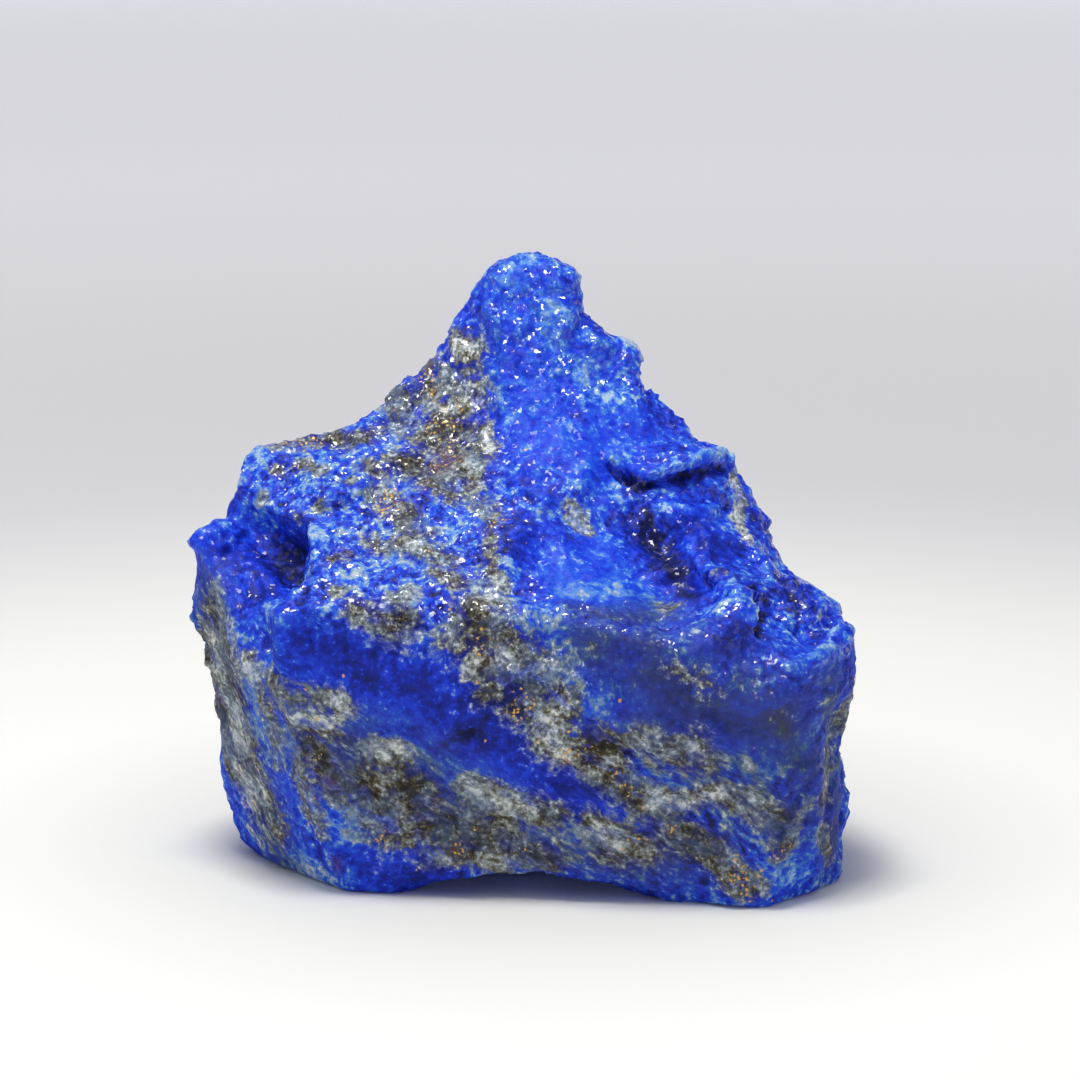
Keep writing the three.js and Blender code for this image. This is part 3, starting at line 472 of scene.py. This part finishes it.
def linear(code):
    """An sRGB hex colour as linear RGBA."""
    channels = [int(code[i:i + 2], 16) / 255 for i in (1, 3, 5)]
    return [c / 12.92 if c <= 0.04045 else ((c + 0.055) / 1.055) ** 2.4 for c in channels] + [1.0]


def add(tree, kind, inputs=None, out=0, stops=None, **settings):
    """Adds a node with its settings and inputs, each a value or the socket that feeds it. Gives back one output."""
    node = tree.nodes.new(kind)
    for name, value in settings.items():
        setattr(node, name, value)
    for key, value in (inputs or {}).items():
        if isinstance(value, bpy.types.NodeSocket):
            tree.links.new(value, node.inputs[key])
        else:
            node.inputs[key].default_value = value
    if stops:
        elements = node.color_ramp.elements
        while len(elements) < len(stops):
            elements.new(0.5)
        for element, (position, colour) in zip(elements, stops):
            element.position = position
            element.color = linear(colour)
    return node.outputs[out] if len(node.outputs) else node


def select_only(piece):
    bpy.ops.object.select_all(action="DESELECT")
    piece.select_set(True)
    bpy.context.view_layer.objects.active = piece


def apply_modifier(piece, kind, **settings):
    modifier = piece.modifiers.new(kind.lower(), kind)
    for name, value in settings.items():
        setattr(modifier, name, value)
    select_only(piece)
    bpy.ops.object.modifier_apply(modifier=modifier.name)


def brush_cover(points, strokes):
    """How much the strokes cover each point: 1 well inside, a half at a stroke's edge, 0 well outside."""
    nearest = np.full(len(points), 9.0)
    for stroke in strokes:
        ends = stroke if len(stroke) > 1 else stroke * 2
        for start, end in zip(ends, ends[1:]):
            a, b = np.array(start[:3], float), np.array(end[:3], float)
            span = b - a
            along = np.clip((points - a) @ span / max(span @ span, 1e-9), 0, 1)
            gap = np.linalg.norm(points - a - along[:, None] * span, axis=1)
            nearest = np.minimum(nearest, gap / (start[3] + along * (end[3] - start[3])))
    return np.clip((1.9 - nearest) / 1.7, 0, 1)


def paint(piece, name, values):
    attribute = piece.data.attributes.new(name, "FLOAT", "POINT")
    attribute.data.foreach_set("value", values.astype(np.float32))


def points_of(piece):
    flat = np.empty(len(piece.data.vertices) * 3, np.float32)
    piece.data.vertices.foreach_get("co", flat)
    return flat.reshape(-1, 3).astype(float)


def rock_relief():
    """Raises the lump's relief along its normals, and marks how far each point then stands out."""
    tree = bpy.data.node_groups.new("rock_relief", "GeometryNodeTree")
    tree.interface.new_socket("Geometry", in_out="INPUT", socket_type="NodeSocketGeometry")
    tree.interface.new_socket("Geometry", in_out="OUTPUT", socket_type="NodeSocketGeometry")
    lump = add(tree, "NodeGroupInput")
    place = add(tree, "GeometryNodeInputPosition")
    normal = add(tree, "GeometryNodeInputNormal")
    painted = {name: add(tree, "GeometryNodeInputNamedAttribute", {"Name": name}, data_type="FLOAT")
               for name in RELIEF_REGIONS}

    # Wear: the second pass gives back what the first one shrank
    once = add(tree, "GeometryNodeBlurAttribute", {"Value": place, "Iterations": WORN_STEPS},
               data_type="FLOAT_VECTOR")
    twice = add(tree, "GeometryNodeBlurAttribute", {"Value": once, "Iterations": WORN_STEPS},
                data_type="FLOAT_VECTOR")
    worn = add(tree, "ShaderNodeVectorMath", {0: once, 1: (2, 2, 2)}, operation="MULTIPLY")
    worn = add(tree, "ShaderNodeVectorMath", {0: worn, 1: twice}, operation="SUBTRACT")
    wear = add(tree, "ShaderNodeVectorMath", {0: worn, 1: place}, operation="SUBTRACT")
    wear_share = add(tree, "ShaderNodeMath", {0: 1.0, 1: painted["crisp"]}, operation="SUBTRACT")
    wear = add(tree, "ShaderNodeVectorMath", {0: wear, "Scale": wear_share}, operation="SCALE")
    lump = add(tree, "GeometryNodeSetPosition", {"Geometry": lump, "Offset": wear})

    # Which way the surface faces, apart from its small bumps
    facing = add(tree, "GeometryNodeBlurAttribute", {"Value": normal, "Iterations": 10}, data_type="FLOAT_VECTOR")
    facing = add(tree, "ShaderNodeSeparateXYZ", {"Vector": facing}, out="Z")
    lump = add(tree, "GeometryNodeStoreNamedAttribute", {"Geometry": lump, "Name": "upward", "Value": facing},
               data_type="FLOAT")

    # Broad lumps
    lumps = add(tree, "ShaderNodeTexNoise", {"Vector": place, "Scale": 1 / LUMP_SPACING, "Detail": 3.0})
    lumps = add(tree, "ShaderNodeMapRange", {
        "Value": lumps, "From Min": 0.2, "From Max": 0.8, "To Min": -LUMP_HEIGHT, "To Max": LUMP_HEIGHT})

    # Sharp steps, where the break jumped from one level to the next
    jump = add(tree, "ShaderNodeTexNoise", {
        "Vector": place, "Scale": 1 / STEP_SPACING, "Detail": 3.0, "Roughness": 0.55})
    lower_step = add(tree, "ShaderNodeMapRange", {
        "Value": jump, "From Min": 0.43, "From Max": 0.46, "To Min": -STEP_HEIGHT, "To Max": 0.0})
    upper_step = add(tree, "ShaderNodeMapRange", {
        "Value": jump, "From Min": 0.54, "From Max": 0.57, "To Min": 0.0, "To Max": STEP_HEIGHT})
    steps = add(tree, "ShaderNodeMath", {0: lower_step, 1: upper_step}, operation="ADD")

    # Chips, each a cell of rock that broke away at its own small tilt
    cells = {"Vector": place, "Scale": 1 / CHIP_SPACING}
    middle = add(tree, "ShaderNodeTexVoronoi", cells, out="Position")
    lean = add(tree, "ShaderNodeTexVoronoi", cells, out="Color")
    lean = add(tree, "ShaderNodeVectorMath", {0: lean, 1: (0.5, 0.5, 0.5)}, operation="SUBTRACT")
    reach = add(tree, "ShaderNodeVectorMath", {0: place, 1: middle}, operation="SUBTRACT")
    chips = add(tree, "ShaderNodeVectorMath", {0: reach, 1: lean}, out="Value", operation="DOT_PRODUCT")
    chips = add(tree, "ShaderNodeMath", {0: chips, 1: 2 * CHIP_TILT}, operation="MULTIPLY")

    # Grains, coarse where the break is granular
    grains = add(tree, "ShaderNodeTexNoise", {"Vector": place, "Scale": 1 / GRAIN_SPACING, "Detail": 2.0})
    grains = add(tree, "ShaderNodeMapRange", {
        "Value": grains, "From Min": 0.2, "From Max": 0.8, "To Min": -GRAIN_HEIGHT, "To Max": GRAIN_HEIGHT})
    grain_share = add(tree, "ShaderNodeMapRange", {"Value": painted["granular"], "To Min": 0.12, "To Max": 1.0})
    grains = add(tree, "ShaderNodeMath", {0: grains, 1: grain_share}, operation="MULTIPLY")

    # Edges of the layers
    unturn = LAYER_NORMAL.to_track_quat("Z", "Y").inverted().to_euler()
    layers = add(tree, "FunctionNodeRotateVector", {"Vector": place, "Rotation": unturn})
    layers = add(tree, "ShaderNodeVectorMath", {0: layers, 1: (LAYER_STRETCH, LAYER_STRETCH, 1)},
                 operation="DIVIDE")
    layers = add(tree, "ShaderNodeTexNoise", {"Vector": layers, "Scale": 1 / LAYER_SPACING, "Detail": 2.0})
    layers = add(tree, "ShaderNodeMapRange", {
        "Value": layers, "From Min": 0.2, "From Max": 0.8, "To Min": -LAYER_HEIGHT, "To Max": LAYER_HEIGHT})

    height = lumps
    for bumps in (chips, grains, layers, steps):
        height = add(tree, "ShaderNodeMath", {0: height, 1: bumps}, operation="ADD")
    roughness = add(tree, "ShaderNodeMapRange", {"Value": painted["smooth"], "To Min": 1.0, "To Max": 0.25})
    height = add(tree, "ShaderNodeMath", {0: height, 1: roughness}, operation="MULTIPLY")

    # Rims, clefts and ledges, broken up so that they don't run evenly
    uneven = add(tree, "ShaderNodeTexNoise", {"Vector": place, "Scale": 1 / UNEVEN_SPACING, "Detail": 2.0})
    uneven = add(tree, "ShaderNodeMapRange", {
        "Value": uneven, "From Min": 0.3, "From Max": 0.7, "To Min": 0.3, "To Max": 1.4})
    lines = add(tree, "ShaderNodeMath", {0: painted["rims"], 1: RIM_HEIGHT}, operation="MULTIPLY")
    for region, rise in (("cuts", -CUT_DEPTH), ("nicks", -NICK_DEPTH)):
        lines = add(tree, "ShaderNodeMath", {0: painted[region], 1: rise, 2: lines}, operation="MULTIPLY_ADD")
    height = add(tree, "ShaderNodeMath", {0: lines, 1: uneven, 2: height}, operation="MULTIPLY_ADD")
    ledges = add(tree, "ShaderNodeMath", {0: uneven, 1: 0.25, 2: painted["ledges"]}, operation="MULTIPLY_ADD")
    ledges = add(tree, "ShaderNodeMapRange", {"Value": ledges, "From Min": 0.66, "From Max": 0.80})
    for cover, rise in ((ledges, LEDGE_HEIGHT), (painted["hollows"], -HOLLOW_DEPTH),
                        (painted["swells"], SWELL_HEIGHT), (painted["humps"], HUMP_HEIGHT)):
        height = add(tree, "ShaderNodeMath", {0: cover, 1: rise, 2: height}, operation="MULTIPLY_ADD")

    # The foot stays flat, apart from the arch
    level = add(tree, "ShaderNodeSeparateXYZ", {"Vector": place}, out="Z")
    above = add(tree, "ShaderNodeMapRange", {"Value": level, "From Min": 0.02 * MM, "From Max": FOOT_HEIGHT})
    height = add(tree, "ShaderNodeMath", {0: height, 1: above}, operation="MULTIPLY")
    lift = add(tree, "ShaderNodeVectorMath", {0: normal, "Scale": height}, operation="SCALE")
    rise = add(tree, "ShaderNodeMath", {0: painted["undercut"], 1: UNDERCUT_RISE}, operation="MULTIPLY")
    rise = add(tree, "ShaderNodeCombineXYZ", {"Z": rise})
    lift = add(tree, "ShaderNodeVectorMath", {0: lift, 1: rise}, operation="ADD")
    lump = add(tree, "GeometryNodeSetPosition", {"Geometry": lump, "Offset": lift})

    # How far each point stands out from those around it, in millimetres
    around = add(tree, "GeometryNodeBlurAttribute", {"Value": place, "Iterations": 8}, data_type="FLOAT_VECTOR")
    proud = add(tree, "ShaderNodeVectorMath", {0: place, 1: around}, operation="SUBTRACT")
    proud = add(tree, "ShaderNodeVectorMath", {0: proud, 1: normal}, out="Value", operation="DOT_PRODUCT")
    proud = add(tree, "ShaderNodeMath", {0: proud, 1: 1 / MM}, operation="MULTIPLY")
    lump = add(tree, "GeometryNodeStoreNamedAttribute", {"Geometry": lump, "Name": "proud", "Value": proud},
               data_type="FLOAT")
    add(tree, "NodeGroupOutput", {0: lump})
    return tree


def make_lump():
    """The stone itself, from a copy of the solid: rounded between its ridges, meshed finely, then roughened."""
    select_only(frame["nodes"]["lapis_stone"])
    bpy.ops.object.duplicate()
    lump = bpy.context.active_object
    lump.name = "rough_lapis"
    del lump["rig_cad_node"]
    bpy.ops.object.parent_clear(type="CLEAR_KEEP_TRANSFORM")
    bpy.ops.object.mode_set(mode="EDIT")
    bpy.ops.mesh.select_mode(type="EDGE")
    bpy.ops.mesh.select_all(action="SELECT")
    bpy.ops.mesh.remove_doubles(threshold=0.001 * MM)
    bpy.ops.mesh.select_all(action="DESELECT")
    bpy.ops.mesh.edges_select_sharp(sharpness=RIDGE_ANGLE)
    bpy.ops.transform.edge_crease(value=RIDGE_CREASE)
    bpy.ops.object.mode_set(mode="OBJECT")
    apply_modifier(lump, "SUBSURF", levels=2, render_levels=2)
    apply_modifier(lump, "REMESH", mode="VOXEL", voxel_size=MESH_STEP)

    points = points_of(lump) / MM
    for region, strokes in STROKES.items():
        paint(lump, region, brush_cover(points, strokes))
    apply_modifier(lump, "NODES", node_group=rock_relief())
    select_only(lump)
    bpy.ops.object.shade_smooth()
    return lump


def wet_rough_lapis():
    """Raw lapis lazuli: ultramarine lazurite with grey calcite and gold pyrite grown through it. It is broken,
    not polished, and wetted: the upward faces have a film of water that glints, and the steep ones are matt, with
    painted shade."""
    material = bpy.data.materials.new("wet_rough_lapis")
    material.use_nodes = True
    tree = material.node_tree
    tree.nodes.clear()
    place = add(tree, "ShaderNodeTexCoord", out="Object")
    painted = {name: add(tree, "ShaderNodeAttribute", out="Fac", attribute_name=name) for name in COLOUR_REGIONS}
    upward = add(tree, "ShaderNodeAttribute", out="Fac", attribute_name="upward")
    proud = add(tree, "ShaderNodeAttribute", out="Fac", attribute_name="proud")

    # Clouds of different sizes, each spread to run from 0 to 1
    turn = LAYER_NORMAL.to_track_quat("Z", "Y").to_euler()
    along_layers = add(tree, "ShaderNodeMapping", {
        "Vector": place, "Rotation": turn, "Scale": (LAYER_STRETCH, LAYER_STRETCH, 1)}, vector_type="TEXTURE")
    clouds = {}
    for name, start, spacing, detail, rough, bend in (
            ("broad", place, 2.4 * MM, 8.0, 0.68, 0.3), ("fine", place, 0.6 * MM, 5.0, 0.62, 0.0),
            ("layered", along_layers, 0.8 * MM, 6.0, 0.62, 0.0), ("thin", along_layers, 0.32 * MM, 4.0, 0.6, 0.0)):
        noise = add(tree, "ShaderNodeTexNoise", {
            "Vector": start, "Scale": 1 / spacing, "Detail": detail, "Roughness": rough, "Distortion": bend})
        clouds[name] = add(tree, "ShaderNodeMapRange", {"Value": noise, "From Min": 0.25, "From Max": 0.75})
    cloud = add(tree, "ShaderNodeMix", {0: painted["streaks"], 2: clouds["broad"], 3: clouds["layered"]})
    fine = add(tree, "ShaderNodeMix", {0: painted["streaks"], 2: clouds["fine"], 3: clouds["thin"]})
    grain = add(tree, "ShaderNodeMix", {0: 0.5, 2: cloud, 3: fine})
    speck = add(tree, "ShaderNodeTexNoise", {
        "Vector": place, "Scale": 1 / SPECK_SPACING, "Detail": 3.0, "Roughness": 0.6})
    speck = add(tree, "ShaderNodeMapRange", {"Value": speck, "From Min": 0.28, "From Max": 0.72})

    # Where the calcite is: its strokes with ragged edges
    ragged = add(tree, "ShaderNodeMath", {0: grain, 1: 0.5}, operation="SUBTRACT")
    calcite = add(tree, "ShaderNodeMath", {0: ragged, 1: 2.2, 2: painted["matrix"]}, operation="MULTIPLY_ADD")
    for region, share in (("light", 0.5), ("streaks", 0.16), ("mottled", 0.28)):
        calcite = add(tree, "ShaderNodeMath", {0: painted[region], 1: share, 2: calcite}, operation="MULTIPLY_ADD")
    halo = add(tree, "ShaderNodeMapRange", {"Value": calcite, "From Min": -0.1, "From Max": 0.5})
    calcite = add(tree, "ShaderNodeMapRange", {"Value": calcite, "From Min": 0.32, "From Max": 0.95},
                  interpolation_type="SMOOTHSTEP")
    island = add(tree, "ShaderNodeTexNoise", {
        "Vector": along_layers, "Scale": 1 / ISLAND_SPACING, "Detail": 4.0, "Roughness": 0.65})
    island = add(tree, "ShaderNodeMapRange", {"Value": island, "From Min": 0.37, "From Max": 0.50, "To Min": 0.45})
    calcite = add(tree, "ShaderNodeMath", {0: calcite, 1: island}, operation="MULTIPLY")

    # Lazurite: from navy through ultramarine to sky blue where calcite clouds it
    # Points that stand out from those around them are lighter: partly worn edges, partly painted highlight
    worn_and_lit_ridge = add(tree, "ShaderNodeMapRange", {"Value": proud, "From Min": 0.03, "From Max": 0.14})
    even = add(tree, "ShaderNodeMath", {0: painted["deep"], 1: painted["pure"]}, operation="MAXIMUM")
    swing = add(tree, "ShaderNodeMapRange", {"Value": even, "To Min": 0.98, "To Max": 0.56})
    swing = add(tree, "ShaderNodeMath", {0: painted["mottled"], 1: 0.45, 2: swing}, operation="MULTIPLY_ADD")
    tone = add(tree, "ShaderNodeMath", {0: ragged, 1: swing, 2: 0.42}, operation="MULTIPLY_ADD")
    clear = add(tree, "ShaderNodeMapRange", {"Value": even, "To Min": 0.20, "To Max": 0.05})
    glitter = add(tree, "ShaderNodeMapRange", {"Value": speck, "From Min": 0.72, "From Max": 1.0, "To Max": 0.20})
    # Painted shade and highlight: the clefts are darkened and the rims lightened
    for cover, share in ((painted["pale"], 0.12), (painted["pure"], 0.05), (painted["deep"], -0.15),
                         (painted["dark"], -0.25), (halo, clear), (worn_and_lit_ridge, 0.10), (painted["matrix"], -0.10),
                         (painted["mottled"], -0.09), (painted["cuts"], -0.35), (painted["rims"], 0.10),
                         (glitter, 1.0)):
        tone = add(tree, "ShaderNodeMath", {0: cover, 1: share, 2: tone}, operation="MULTIPLY_ADD")
    blue = add(tree, "ShaderNodeValToRGB", {"Fac": tone}, stops=[
        (0.08, "#0a1450"), (0.28, "#122ab0"), (0.42, "#1a3fe8"), (0.58, "#2560f0"), (0.72, "#5c9af0"),
        (0.90, "#b4d2ee")])

    # Calcite: olive brown with pyrite dust through grey to white
    shade = add(tree, "ShaderNodeMix", {0: 0.6, 2: cloud, 3: fine})
    shade = add(tree, "ShaderNodeMix", {0: 0.25, 2: shade, 3: speck})
    shade = add(tree, "ShaderNodeMapRange", {"Value": shade, "From Min": 0.18, "From Max": 0.78})
    core = add(tree, "ShaderNodeMapRange", {"Value": painted["light"], "From Min": 0.35, "To Max": 0.32})
    shade = add(tree, "ShaderNodeMath", {0: shade, 1: core}, operation="ADD")
    shade = add(tree, "ShaderNodeMath", {0: painted["dark"], 1: -0.20, 2: shade}, operation="MULTIPLY_ADD")
    shade = add(tree, "ShaderNodeMath", {0: shade, 1: glitter}, operation="ADD")
    stone = add(tree, "ShaderNodeValToRGB", {"Fac": shade}, stops=[
        (0.12, "#1f1a0e"), (0.33, "#3f3720"), (0.48, "#625b45"), (0.65, "#878d88"), (0.84, "#b6bebb"),
        (1.0, "#f0f2ee")])

    # A blue tint in parts of the calcite, and a grey veil over the dusty blue
    tint = add(tree, "ShaderNodeMapRange", {
        "Value": clouds["broad"], "From Min": 0.4, "From Max": 0.8, "To Max": 0.36})
    stone = add(tree, "ShaderNodeMix", {0: tint, 6: stone, 7: linear("#6f9ad8")}, out=2, data_type="RGBA")
    veil = add(tree, "ShaderNodeMath", {0: painted["dusty"], 1: cloud}, operation="MULTIPLY")
    veil = add(tree, "ShaderNodeMath", {0: veil, 1: 1.3}, operation="MULTIPLY", use_clamp=True)
    blue = add(tree, "ShaderNodeMix", {0: veil, 6: blue, 7: linear("#424a62")}, out=2, data_type="RGBA")
    colour = add(tree, "ShaderNodeMix", {0: calcite, 6: blue, 7: stone}, out=2, data_type="RGBA")

    # Steep, dry faces are darkened a little towards grey-black, which is painted shade, and a few spots have rusted
    wet = add(tree, "ShaderNodeMapRange", {"Value": upward, "From Min": 0.05, "From Max": 0.38},
              interpolation_type="SMOOTHSTEP")
    painted_steep_shade = add(tree, "ShaderNodeMapRange", {"Value": wet, "To Min": 0.15, "To Max": 0.0})
    colour = add(tree, "ShaderNodeMix", {0: painted_steep_shade, 6: colour, 7: linear("#20242e")}, out=2, data_type="RGBA")
    rust = add(tree, "ShaderNodeMath", {0: painted["rust"], 1: fine}, operation="MULTIPLY")
    colour = add(tree, "ShaderNodeMix", {0: rust, 6: colour, 7: linear("#5e3412")}, out=2, data_type="RGBA")

    # Pyrite grains, one in the middle of some of the cells
    warped = add(tree, "ShaderNodeTexNoise", {"Vector": place, "Scale": 1 / WARP_SPACING, "Detail": 1.0}, out="Color")
    warped = add(tree, "ShaderNodeVectorMath", {0: warped, 1: (WARP, WARP, WARP), 2: place}, operation="MULTIPLY_ADD")
    cells = {"Vector": warped, "Scale": 1 / PYRITE_SPACING}
    off_middle = add(tree, "ShaderNodeTexVoronoi", cells, out="Distance")
    lot = add(tree, "ShaderNodeTexVoronoi", cells, out="Color")
    lot = add(tree, "ShaderNodeSeparateColor", {"Color": lot})
    share = add(tree, "ShaderNodeMath", {0: painted["pyrite"], 1: 0.55, 2: 0.001}, operation="MULTIPLY_ADD")
    share = add(tree, "ShaderNodeMath", {0: calcite, 1: 0.006, 2: share}, operation="MULTIPLY_ADD")
    chosen = add(tree, "ShaderNodeMath", {0: lot, 1: share}, operation="LESS_THAN")
    fleck = add(tree, "ShaderNodeMapRange", {"Value": off_middle, "From Min": 0.46, "From Max": 0.30})
    fleck = add(tree, "ShaderNodeMath", {0: fleck, 1: chosen}, operation="MULTIPLY")
    colour = add(tree, "ShaderNodeMix", {0: fleck, 6: colour, 7: linear("#e8b860")}, out=2, data_type="RGBA")
    metal = add(tree, "ShaderNodeMath", {0: fleck, 1: 0.6}, operation="MULTIPLY")

    # Grit and crystal faces, each face leaning its own way
    grit = add(tree, "ShaderNodeTexNoise", {
        "Vector": place, "Scale": 1 / GRIT_SPACING, "Detail": 3.0, "Roughness": 0.6})
    grit_size = add(tree, "ShaderNodeMapRange", {"Value": painted["smooth"], "To Min": 0.8, "To Max": 0.3})
    bump = add(tree, "ShaderNodeBump", {"Height": grit, "Strength": grit_size, "Distance": GRIT_HEIGHT})
    face = add(tree, "ShaderNodeTexVoronoi", {"Vector": warped, "Scale": 1 / FACE_SPACING}, out="Color")
    face_lot = add(tree, "ShaderNodeTexWhiteNoise", {"Vector": face})
    lean = add(tree, "ShaderNodeVectorMath", {0: face, 1: (0.5, 0.5, 0.5)}, operation="SUBTRACT")
    dry_lean = add(tree, "ShaderNodeMapRange", {"Value": painted["smooth"], "To Min": 0.55, "To Max": 0.2})
    dry_lean = add(tree, "ShaderNodeVectorMath", {0: lean, "Scale": dry_lean}, operation="SCALE")
    bump = add(tree, "ShaderNodeVectorMath", {0: bump, 1: dry_lean}, operation="ADD")
    bump = add(tree, "ShaderNodeVectorMath", {0: bump}, operation="NORMALIZE")

    # The film of water lies over the grit in slow waves, follows the faces, and is more level on steep parts.
    # Where a face then points the right way, it glints.
    film = add(tree, "ShaderNodeTexNoise", {"Vector": place, "Scale": 1 / FILM_SPACING, "Detail": 1.0})
    film = add(tree, "ShaderNodeBump", {"Height": film, "Strength": grit_size, "Distance": GRIT_HEIGHT})
    film_lean = add(tree, "ShaderNodeMapRange", {"Value": painted["granular"], "To Min": 0.6, "To Max": 1.0})
    film_lean = add(tree, "ShaderNodeVectorMath", {0: lean, "Scale": film_lean}, operation="SCALE")
    film = add(tree, "ShaderNodeVectorMath", {0: film, 1: film_lean}, operation="ADD")
    level = add(tree, "ShaderNodeMapRange", {
        "Value": upward, "From Min": 0.3, "From Max": 0.9, "To Min": 0.4, "To Max": 0.0})
    level = add(tree, "ShaderNodeCombineXYZ", {"Z": level})
    film = add(tree, "ShaderNodeVectorMath", {0: film, 1: level}, operation="ADD")
    film = add(tree, "ShaderNodeVectorMath", {0: film}, operation="NORMALIZE")
    roughness = add(tree, "ShaderNodeMapRange", {"Value": wet, "To Min": 0.65, "To Max": 0.5})

    # It runs off smooth places, gathers in patches and covers some of the faces
    drained = add(tree, "ShaderNodeMapRange", {"Value": painted["smooth"], "To Min": 1.0, "To Max": 0.15})
    patch = add(tree, "ShaderNodeTexNoise", {"Vector": place, "Scale": 1 / PATCH_SPACING, "Detail": 2.0})
    patch = add(tree, "ShaderNodeMapRange", {"Value": patch, "From Min": 0.38, "From Max": 0.5, "To Min": 0.5})
    filmed = add(tree, "ShaderNodeMath", {0: face_lot, 1: 0.75}, operation="LESS_THAN")
    coat = wet
    for share in (drained, patch, filmed):
        coat = add(tree, "ShaderNodeMath", {0: coat, 1: share}, operation="MULTIPLY")
    shader = add(tree, "ShaderNodeBsdfPrincipled", {
        "Base Color": colour, "Roughness": roughness, "Metallic": metal, "IOR": 1.5, "Specular IOR Level": 0.2,
        "Coat Weight": coat, "Coat Roughness": 0.05, "Coat IOR": 1.6, "Normal": bump, "Coat Normal": film})
    add(tree, "ShaderNodeOutputMaterial", {"Surface": shader})
    return material


def matt_white_card():
    """A sheet of matt card: white round the stone and greyer further off. It glows by itself: faintly round the
    stone, painted light that lifts the stone's shadows, and more further off, so that it stays pale in every
    direction."""
    material = bpy.data.materials.new("matt_white_card")
    material.use_nodes = True
    tree = material.node_tree
    tree.nodes.clear()
    place = add(tree, "ShaderNodeTexCoord", out="Object")
    reach = add(tree, "ShaderNodeVectorMath", {0: place}, out="Value", operation="LENGTH")
    away = add(tree, "ShaderNodeMapRange", {"Value": reach, "From Min": 0.06, "From Max": 0.14},
               interpolation_type="SMOOTHSTEP")
    colour = add(tree, "ShaderNodeMix", {0: away, 6: linear("#fafaf6"), 7: linear("#d8d8dc")}, out=2,
                 data_type="RGBA")
    # Painted light: the glow in a ring round the stone lifts its shadows on the card
    near_glow = add(tree, "ShaderNodeMapRange", {
        "Value": reach, "From Min": 0.018, "From Max": 0.045, "To Max": 0.20})
    far_glow = add(tree, "ShaderNodeMapRange", {
        "Value": reach, "From Min": 0.05, "From Max": 0.40, "To Max": 0.33}, interpolation_type="SMOOTHSTEP")
    glow = add(tree, "ShaderNodeMath", {0: near_glow, 1: far_glow}, operation="ADD")
    shader = add(tree, "ShaderNodeBsdfPrincipled", {
        "Base Color": colour, "Roughness": 0.8, "Specular IOR Level": 0.2,
        "Emission Color": linear("#f4f4fa"), "Emission Strength": glow})
    add(tree, "ShaderNodeOutputMaterial", {"Surface": shader})
    return material


def make_table():
    """A round table whose rim is extruded up through a bend into a low wall."""
    flat_radius, bend_radius, wall, steps, sides = 0.75, 0.10, 0.15, 8, 96
    bpy.ops.object.select_all(action="DESELECT")
    bpy.ops.mesh.primitive_circle_add(vertices=sides, radius=flat_radius, fill_type="NGON")
    table = bpy.context.active_object
    table.name = "table"
    bpy.ops.object.mode_set(mode="EDIT")
    bpy.ops.mesh.select_mode(type="EDGE")
    bpy.ops.mesh.select_all(action="SELECT")
    radius = flat_radius
    for step in range(steps):
        angle = math.pi / 2 * (step + 0.5) / steps
        length = bend_radius * math.pi / 2 / steps
        wider = 1 + length * math.cos(angle) / radius
        bpy.ops.mesh.extrude_edges_move(TRANSFORM_OT_translate={"value": (0, 0, length * math.sin(angle))})
        bpy.ops.transform.resize(value=(wider, wider, 1), center_override=(0, 0, 0))
        radius *= wider
    bpy.ops.mesh.extrude_edges_move(TRANSFORM_OT_translate={"value": (0, 0, wall)})
    bpy.ops.object.mode_set(mode="OBJECT")
    bpy.ops.object.shade_smooth()
    table.data.materials.append(matt_white_card())


def make_light(name, place, size, power):
    """A square lamp that looks at the stone: its size in metres and its power in watts."""
    bpy.ops.object.light_add(type="AREA", location=place)
    light = bpy.context.active_object
    light.name = name
    light.rotation_euler = (LIGHT_AIM - Vector(place)).to_track_quat("-Z", "Y").to_euler()
    light.data.size = size
    light.data.energy = power
    light.data.color = linear(LIGHT_COLOUR)[:3]


def make_camera():
    back = Vector((0, -math.cos(CAMERA_ELEVATION), math.sin(CAMERA_ELEVATION)))
    bpy.ops.object.camera_add(location=CAMERA_AIM + CAMERA_DISTANCE * back)
    camera = bpy.context.active_object
    camera.rotation_euler = back.to_track_quat("Z", "Y").to_euler()
    camera.data.sensor_width = SENSOR
    camera.data.lens = SENSOR * CAMERA_DISTANCE / (FRAME_PX * MM_PER_PX * MM)
    camera.data.clip_start = 0.01
    bpy.context.scene.camera = camera


def set_the_room():
    world = bpy.data.worlds.new("pale_room")
    bpy.context.scene.world = world
    world.use_nodes = True
    background = world.node_tree.nodes["Background"]
    background.inputs["Color"].default_value = linear("#eceef6")
    background.inputs["Strength"].default_value = 0.10
    bpy.context.scene.view_settings.view_transform = "Standard"


lump = make_lump()
lump.data.materials.clear()
lump.data.materials.append(wet_rough_lapis())
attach(lump, "root")
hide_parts("lapis_stone")

make_table()
make_light("softbox", (-0.03, -0.06, 0.32), 0.45, 0.38)
make_light("lamp", (-0.03, -0.045, 0.29), 0.08, 0.50)
make_camera()
set_the_room()
